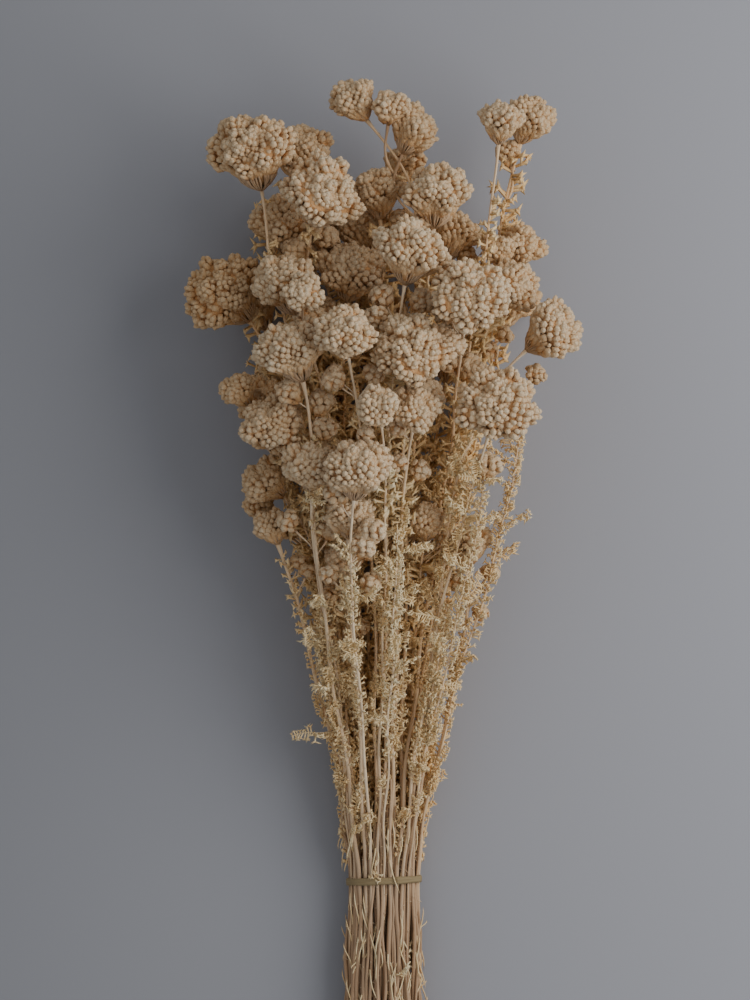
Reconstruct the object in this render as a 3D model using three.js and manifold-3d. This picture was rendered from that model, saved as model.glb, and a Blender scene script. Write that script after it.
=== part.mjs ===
// Preserved yarrow: a tied bunch of dried flowering stems, lying on a surface.
// Millimetres. +Y runs from the cut ends to the flower heads, +X is the bunch's right, +Z is up.
// Until the last lines y = 0 is the middle of the tie and z = 0 is the surface that it lies on.

import * as THREE from 'three';
import { ConvexHull } from 'three/addons/math/ConvexHull.js';
import { mergeVertices } from 'three/addons/utils/BufferGeometryUtils.js';
import Module from 'manifold-3d';

const wasm = await Module();
wasm.setup();

// Driving dimensions of the stems and of the tied bundle
const STEM_DIAMETER = 3.1;
const NECK_DIAMETER = 2.4;
const BRANCH_DIAMETER = 1.9;
const SHOOT_DIAMETER = 2.3;
const STEM_SIDES = 5;
const STEM_CLEARANCE = 0.45;
const CUT_END_Y = -115;
const CUT_END_SPREAD = 1.16;
const CUT_END_JITTER = [1.2, 7, 1.2];
const TIE_HALF_STRETCH = 5;
const BUNDLE_RINGS = [
  { halfWidth: 20.0, halfHeight: 12.6, stems: 28 },
  { halfWidth: 16.5, halfHeight: 9.1, stems: 16 },
  { halfWidth: 13.0, halfHeight: 5.6, stems: 5 },
];

// Driving dimensions of the tie
const TIE_WIDTH = 4.4;
const TIE_THICKNESS = 1.1;
const TIE_CLEARANCE = 0.5;
const TIE_FLAT_DEPTH = 0.25;
const TIE_SEGMENTS = 10;
const TIE_TILT = 2.5;

// Driving dimensions of a flower head, as shares of its width
const CROWN_PROFILE = [
  { angle: 0, radius: 0.36 },
  { angle: 35, radius: 0.41 },
  { angle: 62, radius: 0.47 },
  { angle: 86, radius: 0.50 },
  { angle: 104, radius: 0.46 },
  { angle: 130, radius: 0.37 },
  { angle: 155, radius: 0.40 },
  { angle: 180, radius: 0.50 },
];
const FLORETS_END_ANGLE = 102;
const FLORET_DEPTH = 0.06;
const FEWEST_FLORETS = 6;
const FLORET_SHARE = 1 / 125;
const RIB_COUNT = 5;
const RIB_ANGLE = 131;
const RIB_DEPTH = 0.035;
const STEM_REACH_IN = 0.18;
const NECK_SHARE = 0.50;
const NECK_LENGTH = 8;
const HEAD_CLEARANCE = 1.1;
const HEAD_PRESS = 2.2;

// Driving dimensions of a leaf
const LEAF_LENGTHS = [17, 31];
const LEAF_WIDTH_SHARE = 0.56;
const LEAF_LOBES = 4;
const LEAF_THICKNESS = 0.7;
const LEAF_RIB_WIDTH = 1.5;
const LEAF_CLEARANCE = 1.1;
const LEAF_SPACING = 3.2;
const LEAF_LOBE_AHEAD = 0.95;
const LEAF_SWELL = [0.22, 0.82];
const LEAF_TRIES = 160;
const LEAF_STEM_MARGIN = 0.05;
const LEAVES_PER_SHOOT = 4;
const SHOOT_LEAF_STEP = 22;
const SHOOT_LEAF_BELOW = [20, 4];
const LEAF_COUNT = 22;
const LEAF_LEAN = [28, 52];
const LEAF_CURL = [-20, 50];
const LEAF_CUP = [-0.3, 0.6];
const LEAF_ZONE = [-60, 240];
const LEAF_SPREAD = 1.3;

// How a stem bends between the tie and its head, as shares of its reach
const START_PULL = 0.4;
const START_STRAIGHTNESS = 0.5;
const NECK_PULL = 0.2;
const BRANCH_START_PULL = 0.35;
const BRANCH_NECK_PULL = 0.3;
const FAN_GATHER = 62;
const FAN_LIFT = 30;

// How the bunch is settled
const HEAD_ROUNDS = 300;
const HEAD_FIRMNESS = [0.2, 0.2, 1];
const STEM_ROUNDS = 500;
const STEM_STATIONS = [0.24, 0.48, 0.70, 0.87, 1];
const FORK_STATION = 0.95;
const BRANCH_POINTS = 2;
const BRANCH_LEAST_RISE = 20;
const LEAST_HOLD = 0.2;
const SMOOTH_ROUNDS_SHARE = 0.8;
const SMOOTHING = 0.3;
const SURFACE_CLEARANCE = 0.3;
const CONTACT_RANGE = 4;
const ELLIPSE_STEPS = 720;
const SEED = 20417;
const FINEST_EDGE = 0.05;
const GRID = 0.005;
const MERGE_DISTANCE = 1e-4;
const SLAB_SIZE = 1200;

const COLOURS = {
  stem: { color: 0xc9b692, roughness: 0.85, metalness: 0 },
  shoot: { color: 0xd6c9a2, roughness: 0.9, metalness: 0 },
  tie: { color: 0x8f8260, roughness: 0.8, metalness: 0 },
};

// The flowering stems. Each head is [x, y, z, width, turn, tip]: the middle of the head, how wide it
// is, how far it turns to the right of +Y, and how far it tips up, in degrees. Heads after the first
// sit on side branches.
const FLOWERING_STEMS = {
  flower_top_left: [[-79, 440, 98, 56, -14, 26]],
  flower_top_left_inner: [[-37, 413, 106, 54, 18, 48]],
  flower_top_left_back: [[-50, 441, 56, 42, 8, 25]],
  flower_top_left_low: [[-60, 398, 58, 44, -8, 22]],
  flower_topmost: [[-18, 471, 82, 32, -32, 14], [4, 467, 88, 26, 8, 20], [18, 454, 78, 36, 24, 4]],
  flower_topmost_back: [[-4, 416, 60, 38, -4, 12], [12, 434, 46, 28, 30, -8]],
  flower_middle_back: [[-13, 397, 40, 36, -6, 12]],
  flower_upper_middle: [[32, 414, 98, 45, 6, 16]],
  flower_upper_middle_back: [[46, 391, 60, 38, 20, -5]],
  flower_upper_pale: [[16, 380, 124, 47, 10, 18]],
  flower_far_right_inner: [[69, 458, 98, 32, 2, 16]],
  flower_far_right: [[87, 461, 64, 36, 18, 18], [75, 441, 56, 20, -10, 6]],
  flower_right_pair: [[84, 385, 56, 30, 25, 20], [66, 382, 66, 25, -12, 22]],
  flower_right_small: [[79, 358, 84, 36, 34, 32]],
  flower_right_large: [[52, 350, 130, 52, 14, 52]],
  flower_outer_right: [[99, 335, 92, 44, 54, 16], [92, 307, 72, 15, 35, 20]],
  flower_outer_left: [[-95, 356, 66, 54, -42, 30]],
  flower_left_side: [[-61, 361, 92, 46, -22, 20], [-48, 354, 124, 27, 6, 66]],
  flower_centre_back: [[-19, 370, 74, 46, 8, 26]],
  flower_left_middle: [[-56, 321, 116, 47, -22, 22]],
  flower_centre_left: [[-20, 328, 136, 39, -8, 48]],
  flower_centre_large: [[13, 319, 130, 52, 2, 50], [33, 325, 118, 30, 30, 34]],
  flower_centre_low: [[-3, 286, 140, 32, -10, 52]],
  flower_centre_low_right: [[19, 285, 124, 34, 12, 50]],
  flower_left_edge: [[-74, 290, 56, 36, -20, 34], [-88, 297, 74, 26, -38, 12]],
  flower_left_low: [[-64, 272, 96, 43, -14, 46]],
  flower_left_low_inner: [[-45, 254, 106, 37, -4, 40]],
  flower_low_pale: [[-18, 250, 124, 45, 8, 30]],
  flower_low_left_edge: [[-72, 243, 60, 34, -48, 20], [-75, 228, 44, 22, -40, 14]],
  flower_lowest_left: [[-68, 216, 60, 27, -20, 10]],
  flower_right_low_large: [[66, 287, 122, 52, 12, 50]],
  flower_low_right: [[50, 205, 54, 31, -4, 6]],
  flower_stems_left: [[-24, 195, 66, 31, -4, 28]],
  flower_stems_pale: [[-21, 222, 88, 33, 2, 22]],
  flower_stems_right: [[26, 219, 60, 28, 8, 22]],
};

// The flowering stems that it lies on. Each head is [x, y, width, turn], pressed flat underneath.
const LYING_STEMS = {
  flower_under_top_left: [-34, 402, 44, -4],
  flower_under_top_right: [24, 386, 44, 10],
  flower_under_centre: [-6, 340, 46, -2],
  flower_under_left: [-56, 306, 44, -20],
  flower_under_right: [42, 322, 44, 12],
  flower_under_far_left: [-80, 350, 38, -30],
  flower_under_far_right: [78, 352, 38, 26],
  flower_under_low: [0, 274, 40, 0],
};

// The leafy shoots: [x, y, z] of each tip
const LEAFY_SHOOTS = {
  shoot_right_outer: [81, 268, 70],
  shoot_right_inner: [60, 246, 84],
  shoot_right_low: [38, 168, 62],
  shoot_centre: [8, 214, 92],
  shoot_left_low: [-38, 166, 60],
  shoot_under: [22, 190, 24],
};

// Small helpers
const radians = THREE.MathUtils.degToRad;
const vec = (x, y, z) => new THREE.Vector3(x, y, z);

function seededRandom(seed) {
  let state = seed;
  return () => {
    state = (state + 0x6d2b79f5) | 0;
    let t = Math.imul(state ^ (state >>> 15), 1 | state);
    t = (t + Math.imul(t ^ (t >>> 7), 61 | t)) ^ t;
    return ((t ^ (t >>> 14)) >>> 0) / 4294967296;
  };
}

const random = seededRandom(SEED);
const between = (low, high) => low + (high - low) * random();

function axisOf(turn, tip) {
  const flat = Math.cos(radians(tip));
  return vec(Math.sin(radians(turn)) * flat, Math.cos(radians(turn)) * flat, Math.sin(radians(tip)));
}

// Solids
function solidOf(points, faces) {
  const vertProperties = new Float32Array(points.flatMap((p) => [p.x, p.y, p.z]));
  const mesh = new wasm.Mesh({ numProp: 3, vertProperties, triVerts: new Uint32Array(faces.flat()) });
  return new wasm.Manifold(mesh);
}

function solidOfGeometry(geometry) {
  geometry.deleteAttribute('normal');
  geometry.deleteAttribute('uv');
  const merged = mergeVertices(geometry, MERGE_DISTANCE);
  const vertProperties = new Float32Array(merged.attributes.position.array);
  const triVerts = new Uint32Array(merged.index.array);
  return new wasm.Manifold(new wasm.Mesh({ numProp: 3, vertProperties, triVerts }));
}

function geometryOf(solid) {
  const mesh = solid.getMesh();
  const geometry = new THREE.BufferGeometry();
  geometry.setAttribute('position', new THREE.BufferAttribute(mesh.vertProperties, 3));
  geometry.setIndex(new THREE.BufferAttribute(mesh.triVerts, 1));
  geometry.computeVertexNormals();
  return geometry;
}

// A flower head
function headRadius(width, angle) {
  const next = CROWN_PROFILE.findIndex((row) => row.angle >= angle);
  if (next <= 0) return CROWN_PROFILE[0].radius * width;
  const low = CROWN_PROFILE[next - 1];
  const high = CROWN_PROFILE[next];
  const share = (angle - low.angle) / (high.angle - low.angle);
  return (low.radius + (high.radius - low.radius) * share) * width;
}

function headRadiusToward(head, direction) {
  const cosine = THREE.MathUtils.clamp(direction.dot(head.axis), -1, 1);
  return headRadius(head.width, THREE.MathUtils.radToDeg(Math.acos(cosine)));
}

function makeHead([x, y, z, width, turn, tip]) {
  return { centre: vec(x, y, z), width, axis: axisOf(turn, tip), lying: false };
}

function makeLyingHead([x, y, width, turn]) {
  const head = makeHead([x, y, 0, width, turn, 0]);
  head.centre.z = headRadiusToward(head, vec(0, 0, -1)) - HEAD_PRESS;
  head.lying = true;
  return head;
}

// Directions of the florets over the crown, and of the ribs under it, round +Z
function reliefDirections(width) {
  const florets = Math.round(FEWEST_FLORETS + width * width * FLORET_SHARE);
  const lowest = Math.cos(radians(FLORETS_END_ANGLE));
  const golden = Math.PI * (3 - Math.sqrt(5));
  const directions = [];
  for (let i = 0; i < florets; i += 1) {
    const height = 1 - ((i + 0.5) / florets) * (1 - lowest);
    const flat = Math.sqrt(1 - height * height);
    directions.push(vec(flat * Math.cos(golden * i), flat * Math.sin(golden * i), height));
  }
  for (let i = 0; i < RIB_COUNT; i += 1) {
    const around = (2 * Math.PI * i) / RIB_COUNT;
    const flat = Math.sin(radians(RIB_ANGLE));
    directions.push(vec(flat * Math.cos(around), flat * Math.sin(around), Math.cos(radians(RIB_ANGLE))));
  }
  directions.push(vec(0, 0, -1));
  return { directions, florets };
}

// A bump for each direction: its peak, and a valley point between each three neighbours
function headSolid(head) {
  const { directions, florets } = reliefDirections(head.width);
  const axis = vec(0, 0, 1);
  const turnUp = new THREE.Quaternion().setFromUnitVectors(axis, head.axis);
  const place = (direction, depth) => {
    const angle = THREE.MathUtils.radToDeg(direction.angleTo(axis));
    const reach = headRadius(head.width, angle) - depth * head.width;
    return direction.clone().applyQuaternion(turnUp).multiplyScalar(reach).add(head.centre);
  };
  const points = directions.map((direction) => place(direction, 0));
  const indexOf = new Map(directions.map((direction, index) => [direction, index]));
  const corner = (edge) => indexOf.get(edge.head().point);
  const valleyOf = new Map();
  const hull = new ConvexHull().setFromPoints(directions);
  for (const face of hull.faces) {
    const corners = [face.getEdge(0), face.getEdge(1), face.getEdge(2)].map(corner);
    const middle = vec(0, 0, 0);
    corners.forEach((index) => middle.add(directions[index]));
    const depth = corners.some((index) => index < florets) ? FLORET_DEPTH : RIB_DEPTH;
    valleyOf.set(face, points.length);
    points.push(place(middle.normalize(), depth));
  }
  const faces = [];
  for (const face of hull.faces) {
    for (let i = 0; i < 3; i += 1) {
      const edge = face.getEdge(i);
      faces.push([corner(edge), valleyOf.get(face), valleyOf.get(edge.twin.face)]);
    }
  }
  return solidOf(points, faces);
}

// Heads press against each other until none overlaps a neighbour, moving mostly up or down
function settleHeads(heads) {
  const firmness = vec(...HEAD_FIRMNESS);
  for (let round = 0; round < HEAD_ROUNDS; round += 1) {
    for (let i = 0; i < heads.length; i += 1) {
      for (let j = i + 1; j < heads.length; j += 1) pushApart(heads[i], heads[j], firmness);
    }
    for (const head of heads) {
      const floor = headRadiusToward(head, vec(0, 0, -1)) + (head.lying ? -HEAD_PRESS : HEAD_CLEARANCE);
      if (head.lying || head.centre.z < floor) head.centre.z = floor;
    }
  }
}

function pushApart(one, other, firmness) {
  if (one.owner === other.owner) return;
  const across = other.centre.clone().sub(one.centre);
  const distance = across.length();
  const direction = across.clone().divideScalar(distance);
  const reach = headRadiusToward(one, direction) + headRadiusToward(other, direction.clone().negate());
  const short = reach + HEAD_CLEARANCE - distance;
  if (short <= 0) return;
  const push = direction.multiply(firmness).multiplyScalar(0.5 * short);
  one.centre.sub(push);
  other.centre.add(push);
}

// Stems run as strands: points that start at the cut end or at a branching point
function bundleSlots() {
  const centreZ = tieCentreHeight();
  const slots = [];
  for (const ring of BUNDLE_RINGS) {
    for (let i = 0; i < ring.stems; i += 1) {
      const around = evenAngle(ring, i / ring.stems);
      slots.push(vec(ring.halfWidth * Math.cos(around), 0, centreZ + ring.halfHeight * Math.sin(around)));
    }
  }
  return slots;
}

// The angle at which a share of the ellipse's length has been covered
function evenAngle({ halfWidth, halfHeight }, share) {
  const lengths = [0];
  for (let i = 1; i <= ELLIPSE_STEPS; i += 1) {
    const angle = (2 * Math.PI * (i - 0.5)) / ELLIPSE_STEPS;
    const speed = Math.hypot(halfWidth * Math.sin(angle), halfHeight * Math.cos(angle));
    lengths.push(lengths[i - 1] + speed);
  }
  const index = lengths.findIndex((length) => length >= share * lengths[ELLIPSE_STEPS]);
  return (2 * Math.PI * index) / ELLIPSE_STEPS;
}

function tieInner() {
  const spare = STEM_DIAMETER / 2 + TIE_CLEARANCE;
  return { x: BUNDLE_RINGS[0].halfWidth + spare, z: BUNDLE_RINGS[0].halfHeight + spare };
}

function tieCentreHeight() {
  return tieInner().z + TIE_THICKNESS - TIE_FLAT_DEPTH;
}

// Each stem gets the slot that lies nearest to its own direction, so that stems don't cross
function assignSlots(tips) {
  const slots = bundleSlots();
  const centre = vec(0, 0, tieCentreHeight());
  const wanted = tips.map((tip) => {
    const away = tip.clone().sub(centre);
    const spread = FAN_GATHER / away.y;
    return vec(away.x * spread, 0, (away.z - FAN_LIFT) * spread).add(centre);
  });
  const order = tips.map((_, index) => index);
  const cost = (i, slot) => wanted[i].distanceToSquared(slots[slot]);
  for (let better = true; better; ) {
    better = false;
    for (let i = 0; i < order.length; i += 1) {
      for (let j = i + 1; j < order.length; j += 1) {
        const now = cost(i, order[i]) + cost(j, order[j]);
        const swapped = cost(i, order[j]) + cost(j, order[i]);
        if (swapped < now - 1e-9) {
          [order[i], order[j]] = [order[j], order[i]];
          better = true;
        }
      }
    }
  }
  return order.map((slot) => slots[slot]);
}

function curvePoint(start, startPull, end, endPull, t) {
  const point = vec(0, 0, 0);
  point.addScaledVector(start, (1 - t) ** 3);
  point.addScaledVector(startPull, 3 * t * (1 - t) ** 2);
  point.addScaledVector(endPull, 3 * t * t * (1 - t));
  point.addScaledVector(end, t ** 3);
  return point;
}

function neckBase(head) {
  return head.centre.clone().addScaledVector(head.axis, -(NECK_SHARE * head.width + NECK_LENGTH));
}

function insideHead(head) {
  return head.centre.clone().addScaledVector(head.axis, -STEM_REACH_IN * head.width);
}

function makeStrand(owner, points, fixed, radii) {
  return { owner, points, fixed, radii, rest: points.map((point) => point.clone()) };
}

function mainStrand(owner, slot, tip, direction, inside, endRadius, forked) {
  const outward = slot.clone().sub(vec(0, 0, tieCentreHeight()));
  const cut = slot.clone().add(vec(0, CUT_END_Y, 0)).addScaledVector(outward, CUT_END_SPREAD - 1);
  cut.add(vec(...CUT_END_JITTER.map((most) => between(-most, most))));
  const below = slot.clone().add(vec(0, -TIE_HALF_STRETCH, 0));
  const above = slot.clone().add(vec(0, TIE_HALF_STRETCH, 0));
  const reach = tip.distanceTo(above);
  const away = tip.clone().sub(above).normalize().lerp(vec(0, 1, 0), START_STRAIGHTNESS).normalize();
  const startPull = above.clone().addScaledVector(away, reach * START_PULL);
  const endPull = tip.clone().addScaledVector(direction, -reach * NECK_PULL);
  const stations = forked ? [...STEM_STATIONS, FORK_STATION].sort() : STEM_STATIONS;
  const onCurve = stations.map((t) => curvePoint(above, startPull, tip, endPull, t));
  const taper = stations.map((t) => THREE.MathUtils.lerp(STEM_DIAMETER / 2, endRadius, t));
  const points = [cut, below, above, ...onCurve];
  const radii = [...points.slice(0, 3).map(() => STEM_DIAMETER / 2), ...taper];
  const fixed = points.map((_, index) => index === 1 || index === 2 || index === points.length - 1);
  if (inside) {
    points.push(inside);
    radii.push(endRadius);
    fixed.push(true);
  }
  return makeStrand(owner, points, fixed, radii);
}

// A side branch leaves the main stem at the last point that lies well below its own head
function branchStrand(main, head) {
  const end = neckBase(head);
  const last = main.points.length - 3;
  const well = (point, index) => index <= last && point.y < end.y - BRANCH_LEAST_RISE;
  const from = main.points.findLastIndex(well);
  const start = main.points[from];
  const reach = end.distanceTo(start);
  const along = main.points[from].clone().sub(main.points[from - 1]).normalize();
  const startPull = start.clone().addScaledVector(along, reach * BRANCH_START_PULL);
  const endPull = end.clone().addScaledVector(head.axis, -reach * BRANCH_NECK_PULL);
  const points = [];
  for (let i = 0; i <= BRANCH_POINTS + 1; i += 1) {
    points.push(curvePoint(start, startPull, end, endPull, i / (BRANCH_POINTS + 1)));
  }
  points.push(insideHead(head));
  const fixed = points.map((_, index) => index > BRANCH_POINTS);
  const strand = makeStrand(main.owner, points, fixed, points.map(() => BRANCH_DIAMETER / 2));
  strand.parent = main;
  strand.from = from;
  return strand;
}

// Stems are pushed clear of each other and of the heads, and each stays a smooth curve
function settleStems(strands, heads) {
  for (let round = 0; round < STEM_ROUNDS; round += 1) {
    if (round < STEM_ROUNDS * SMOOTH_ROUNDS_SHARE) strands.forEach(smoothStrand);
    for (let i = 0; i < strands.length; i += 1) {
      for (let j = i + 1; j < strands.length; j += 1) partStrands(strands[i], strands[j]);
      heads.forEach((head) => clearHead(strands[i], head));
      keepAboveSurface(strands[i]);
    }
    strands.filter((strand) => strand.parent).forEach(followParent);
  }
}

function keepAboveSurface(strand) {
  strand.points.forEach((point, index) => {
    if (strand.fixed[index]) return;
    point.z = Math.max(point.z, strand.radii[index] + SURFACE_CLEARANCE);
  });
}

function followParent(strand) {
  strand.points[0].copy(strand.parent.points[strand.from]);
}

function smoothStrand(strand) {
  const shifts = strand.points.map((point, index) => point.clone().sub(strand.rest[index]));
  for (let i = 0; i < shifts.length; i += 1) {
    if (strand.fixed[i]) continue;
    const before = shifts[Math.max(i - 1, 0)];
    const after = shifts[Math.min(i + 1, shifts.length - 1)];
    const smooth = before.clone().add(after).multiplyScalar(0.5);
    strand.points[i].copy(strand.rest[i]).add(shifts[i].clone().lerp(smooth, SMOOTHING));
  }
}

function segmentGap(a, b, c, d) {
  const u = b.clone().sub(a);
  const v = d.clone().sub(c);
  const w = a.clone().sub(c);
  const uu = u.dot(u);
  const uv = u.dot(v);
  const vv = v.dot(v);
  const uw = u.dot(w);
  const vw = v.dot(w);
  const spread = uu * vv - uv * uv;
  let s = spread > 1e-9 ? THREE.MathUtils.clamp((uv * vw - vv * uw) / spread, 0, 1) : 0.5;
  const t = THREE.MathUtils.clamp((uv * s + vw) / vv, 0, 1);
  s = THREE.MathUtils.clamp((uv * t - uw) / uu, 0, 1);
  const gap = a.clone().addScaledVector(u, s).sub(c.clone().addScaledVector(v, t));
  return { gap, s, t };
}

function moveSegment(strand, index, share, push) {
  const weights = [1 - share, share];
  const free = weights.map((weight, end) => (strand.fixed[index + end] ? 0 : weight));
  const total = Math.max(free[0] * weights[0] + free[1] * weights[1], LEAST_HOLD);
  free.forEach((weight, end) => {
    const point = strand.points[index + end];
    point.x += (push.x * weight) / total;
    point.z += (push.z * weight) / total;
  });
}

function partStrands(one, other) {
  if (one.owner === other.owner) return;
  for (let i = 0; i < one.points.length - 1; i += 1) {
    const a = one.points[i];
    const b = one.points[i + 1];
    for (let j = 0; j < other.points.length - 1; j += 1) {
      const c = other.points[j];
      const d = other.points[j + 1];
      if (Math.max(a.y, b.y) + CONTACT_RANGE < Math.min(c.y, d.y)) continue;
      if (Math.max(c.y, d.y) + CONTACT_RANGE < Math.min(a.y, b.y)) continue;
      const { gap, s, t } = segmentGap(a, b, c, d);
      const need = one.radii[i] + other.radii[j] + STEM_CLEARANCE;
      const distance = gap.length();
      if (distance >= need) continue;
      const flat = vec(gap.x, 0, gap.z);
      if (flat.length() < 1e-6) flat.set(1, 0, 0);
      const push = flat.normalize().multiplyScalar((need - distance) * 0.5);
      moveSegment(one, i, s, push);
      moveSegment(other, j, t, push.clone().negate());
    }
  }
}

function clearHead(strand, head) {
  if (strand.owner === head.owner) return;
  for (let i = 0; i < strand.points.length - 1; i += 1) {
    const a = strand.points[i];
    const b = strand.points[i + 1];
    const along = b.clone().sub(a);
    const share = THREE.MathUtils.clamp(head.centre.clone().sub(a).dot(along) / along.lengthSq(), 0, 1);
    const away = a.clone().addScaledVector(along, share).sub(head.centre);
    const distance = away.length();
    const reach = headRadiusToward(head, away.clone().normalize());
    const need = reach + strand.radii[i] + HEAD_CLEARANCE;
    if (distance >= need) continue;
    const push = vec(away.x, 0, away.z).normalize().multiplyScalar(need - distance);
    moveSegment(strand, i, share, push);
  }
}

// A round stem as a tube with few sides, its rings square to the stem
function tubeSolid(strand) {
  const points = [];
  const faces = [];
  const count = strand.points.length;
  let side = vec(1, 0, 0);
  for (let i = 0; i < count; i += 1) {
    const before = strand.points[Math.max(i - 1, 0)];
    const after = strand.points[Math.min(i + 1, count - 1)];
    const along = after.clone().sub(before).normalize();
    side = side.clone().addScaledVector(along, -side.dot(along)).normalize();
    const up = along.clone().cross(side);
    for (let k = 0; k < STEM_SIDES; k += 1) {
      const around = (2 * Math.PI * k) / STEM_SIDES;
      const spoke = side.clone().multiplyScalar(Math.cos(around)).addScaledVector(up, Math.sin(around));
      points.push(strand.points[i].clone().addScaledVector(spoke, strand.radii[i]));
    }
  }
  for (let i = 0; i < count - 1; i += 1) {
    for (let k = 0; k < STEM_SIDES; k += 1) {
      const a = i * STEM_SIDES + k;
      const b = i * STEM_SIDES + ((k + 1) % STEM_SIDES);
      faces.push([a, b, a + STEM_SIDES], [b, b + STEM_SIDES, a + STEM_SIDES]);
    }
  }
  const last = (count - 1) * STEM_SIDES;
  for (let k = 1; k < STEM_SIDES - 1; k += 1) {
    faces.push([0, k + 1, k], [last, last + k, last + k + 1]);
  }
  return solidOf(points, faces);
}

// A leaf cut to the rib: a narrow strip along an arched rib, with pointed lobes on both sides
function leafFrame(leaf, share) {
  const lean = radians(leaf.lean + leaf.curl * share);
  const forward = leaf.along.clone().multiplyScalar(Math.cos(lean));
  forward.addScaledVector(leaf.out, Math.sin(lean));
  const up = leaf.along.clone().multiplyScalar(-Math.sin(lean));
  up.addScaledVector(leaf.out, Math.cos(lean));
  return { forward, up };
}

function leafRib(leaf) {
  const steps = LEAF_LOBES + 1;
  const rib = [{ point: leaf.base.clone(), ...leafFrame(leaf, 0) }];
  for (let i = 1; i <= steps; i += 1) {
    const frame = leafFrame(leaf, i / steps);
    const point = rib[i - 1].point.clone().addScaledVector(frame.forward, leaf.length / steps);
    rib.push({ point, ...frame });
  }
  return rib;
}

function leafSurface(leaf) {
  const rib = leafRib(leaf);
  const sideways = leaf.out.clone().cross(leaf.along);
  const points = [];
  const faces = [];
  const outline = { left: [], right: [] };
  const add = (station, across, ahead, lift) => {
    const point = station.point.clone().addScaledVector(sideways, across);
    point.addScaledVector(station.forward, ahead).addScaledVector(station.up, lift);
    points.push({ point, up: station.up });
    return points.length - 1;
  };
  const half = LEAF_RIB_WIDTH / 2;
  for (let i = 0; i <= LEAF_LOBES; i += 1) {
    const notchLeft = add(rib[i], half, 0, 0);
    const notchRight = add(rib[i], -half, 0, 0);
    outline.left.push(notchLeft);
    outline.right.push(notchRight);
    if (i === LEAF_LOBES) break;
    const swell = Math.sin(Math.PI * THREE.MathUtils.lerp(...LEAF_SWELL, i / (LEAF_LOBES - 1)));
    const across = half + (leaf.length * LEAF_WIDTH_SHARE * swell) / 2;
    const ahead = (leaf.length / (LEAF_LOBES + 1)) * LEAF_LOBE_AHEAD;
    const lift = across * leaf.cup;
    outline.left.push(add(rib[i], across, ahead, lift));
    outline.right.push(add(rib[i], -across, ahead, lift));
  }
  const tip = add(rib[LEAF_LOBES + 1], 0, 0, 0);
  for (let i = 0; i < LEAF_LOBES; i += 1) {
    const [leftLow, leftTip, leftHigh] = outline.left.slice(2 * i, 2 * i + 3);
    const [rightLow, rightTip, rightHigh] = outline.right.slice(2 * i, 2 * i + 3);
    faces.push([leftLow, leftHigh, leftTip], [rightLow, rightTip, rightHigh]);
    faces.push([leftLow, rightLow, leftHigh], [rightLow, rightHigh, leftHigh]);
  }
  faces.push([outline.left.at(-1), outline.right.at(-1), tip]);
  const edge = [...outline.right, tip, ...[...outline.left].reverse()];
  return { points, faces, edge };
}

function leafSolid(leaf) {
  const { points, faces, edge } = leafSurface(leaf);
  const half = LEAF_THICKNESS / 2;
  const upper = points.map(({ point, up }) => point.clone().addScaledVector(up, half));
  const lower = points.map(({ point, up }) => point.clone().addScaledVector(up, -half));
  const count = points.length;
  const all = faces.map(([a, b, c]) => [a, b, c]);
  faces.forEach(([a, b, c]) => all.push([a + count, c + count, b + count]));
  edge.forEach((a, index) => {
    const b = edge[(index + 1) % edge.length];
    all.push([a, a + count, b], [b, a + count, b + count]);
  });
  return solidOf([...upper, ...lower], all);
}

// The corners of a leaf and the middles of its edges
function leafSamples(leaf) {
  const { points, faces } = leafSurface(leaf);
  const corners = points.map(({ point }) => point);
  const edges = faces.flatMap(([a, b, c]) => [[a, b], [b, c], [c, a]]);
  return [...corners, ...edges.map(([a, b]) => corners[a].clone().lerp(corners[b], 0.5))];
}

// Leaves grow where they stay clear of the other stems, the heads and each other
function leafIsClear(leaf, owner, strands, heads, placed) {
  const samples = leafSamples(leaf);
  const grown = samples.filter((point) => point.distanceTo(leaf.base) > STEM_DIAMETER);
  if (samples.some((point) => point.z < LEAF_THICKNESS)) return false;
  const nearOther = (other) => other.some((p) => grown.some((q) => p.distanceTo(q) < LEAF_SPACING));
  if (placed.some(nearOther)) return false;
  const touchesHead = (head) => grown.some((point) => {
    const away = point.clone().sub(head.centre);
    return away.length() < headRadiusToward(head, away.clone().normalize()) + LEAF_CLEARANCE;
  });
  if (heads.some(touchesHead)) return false;
  const nearTie = (point) => Math.abs(point.y) < TIE_WIDTH && point.z < 2 * tieCentreHeight();
  if (samples.some(nearTie)) return false;
  return !strands.some((strand) => strand.owner !== owner && touchesStrand(samples, strand));
}

function touchesStrand(samples, strand) {
  for (let i = 0; i < strand.points.length - 1; i += 1) {
    const line = new THREE.Line3(strand.points[i], strand.points[i + 1]);
    const nearest = vec(0, 0, 0);
    const need = strand.radii[i] + LEAF_CLEARANCE;
    for (const point of samples) {
      line.closestPointToPoint(point, true, nearest);
      if (nearest.distanceTo(point) < need) return true;
    }
  }
  return false;
}

function tryLeaf(strand, y, spread) {
  const last = strand.points.length - 1;
  const index = strand.points.findIndex((point, i) => i < last && strand.points[i + 1].y > y);
  if (index < 0) return null;
  const a = strand.points[index];
  const b = strand.points[index + 1];
  const along = b.clone().sub(a).normalize();
  const share = THREE.MathUtils.clamp((y - a.y) / (b.y - a.y), LEAF_STEM_MARGIN, 1 - LEAF_STEM_MARGIN);
  const base = a.clone().lerp(b, share);
  const around = between(-spread, spread);
  const aside = vec(0, 0, 1).cross(along).normalize();
  const upward = along.clone().cross(aside).normalize();
  const out = upward.multiplyScalar(Math.cos(around)).addScaledVector(aside, Math.sin(around));
  const length = between(...LEAF_LENGTHS);
  const lean = between(...LEAF_LEAN);
  const curl = between(...LEAF_CURL);
  return { base, along, out, length, lean, curl, cup: between(...LEAF_CUP) };
}

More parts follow.
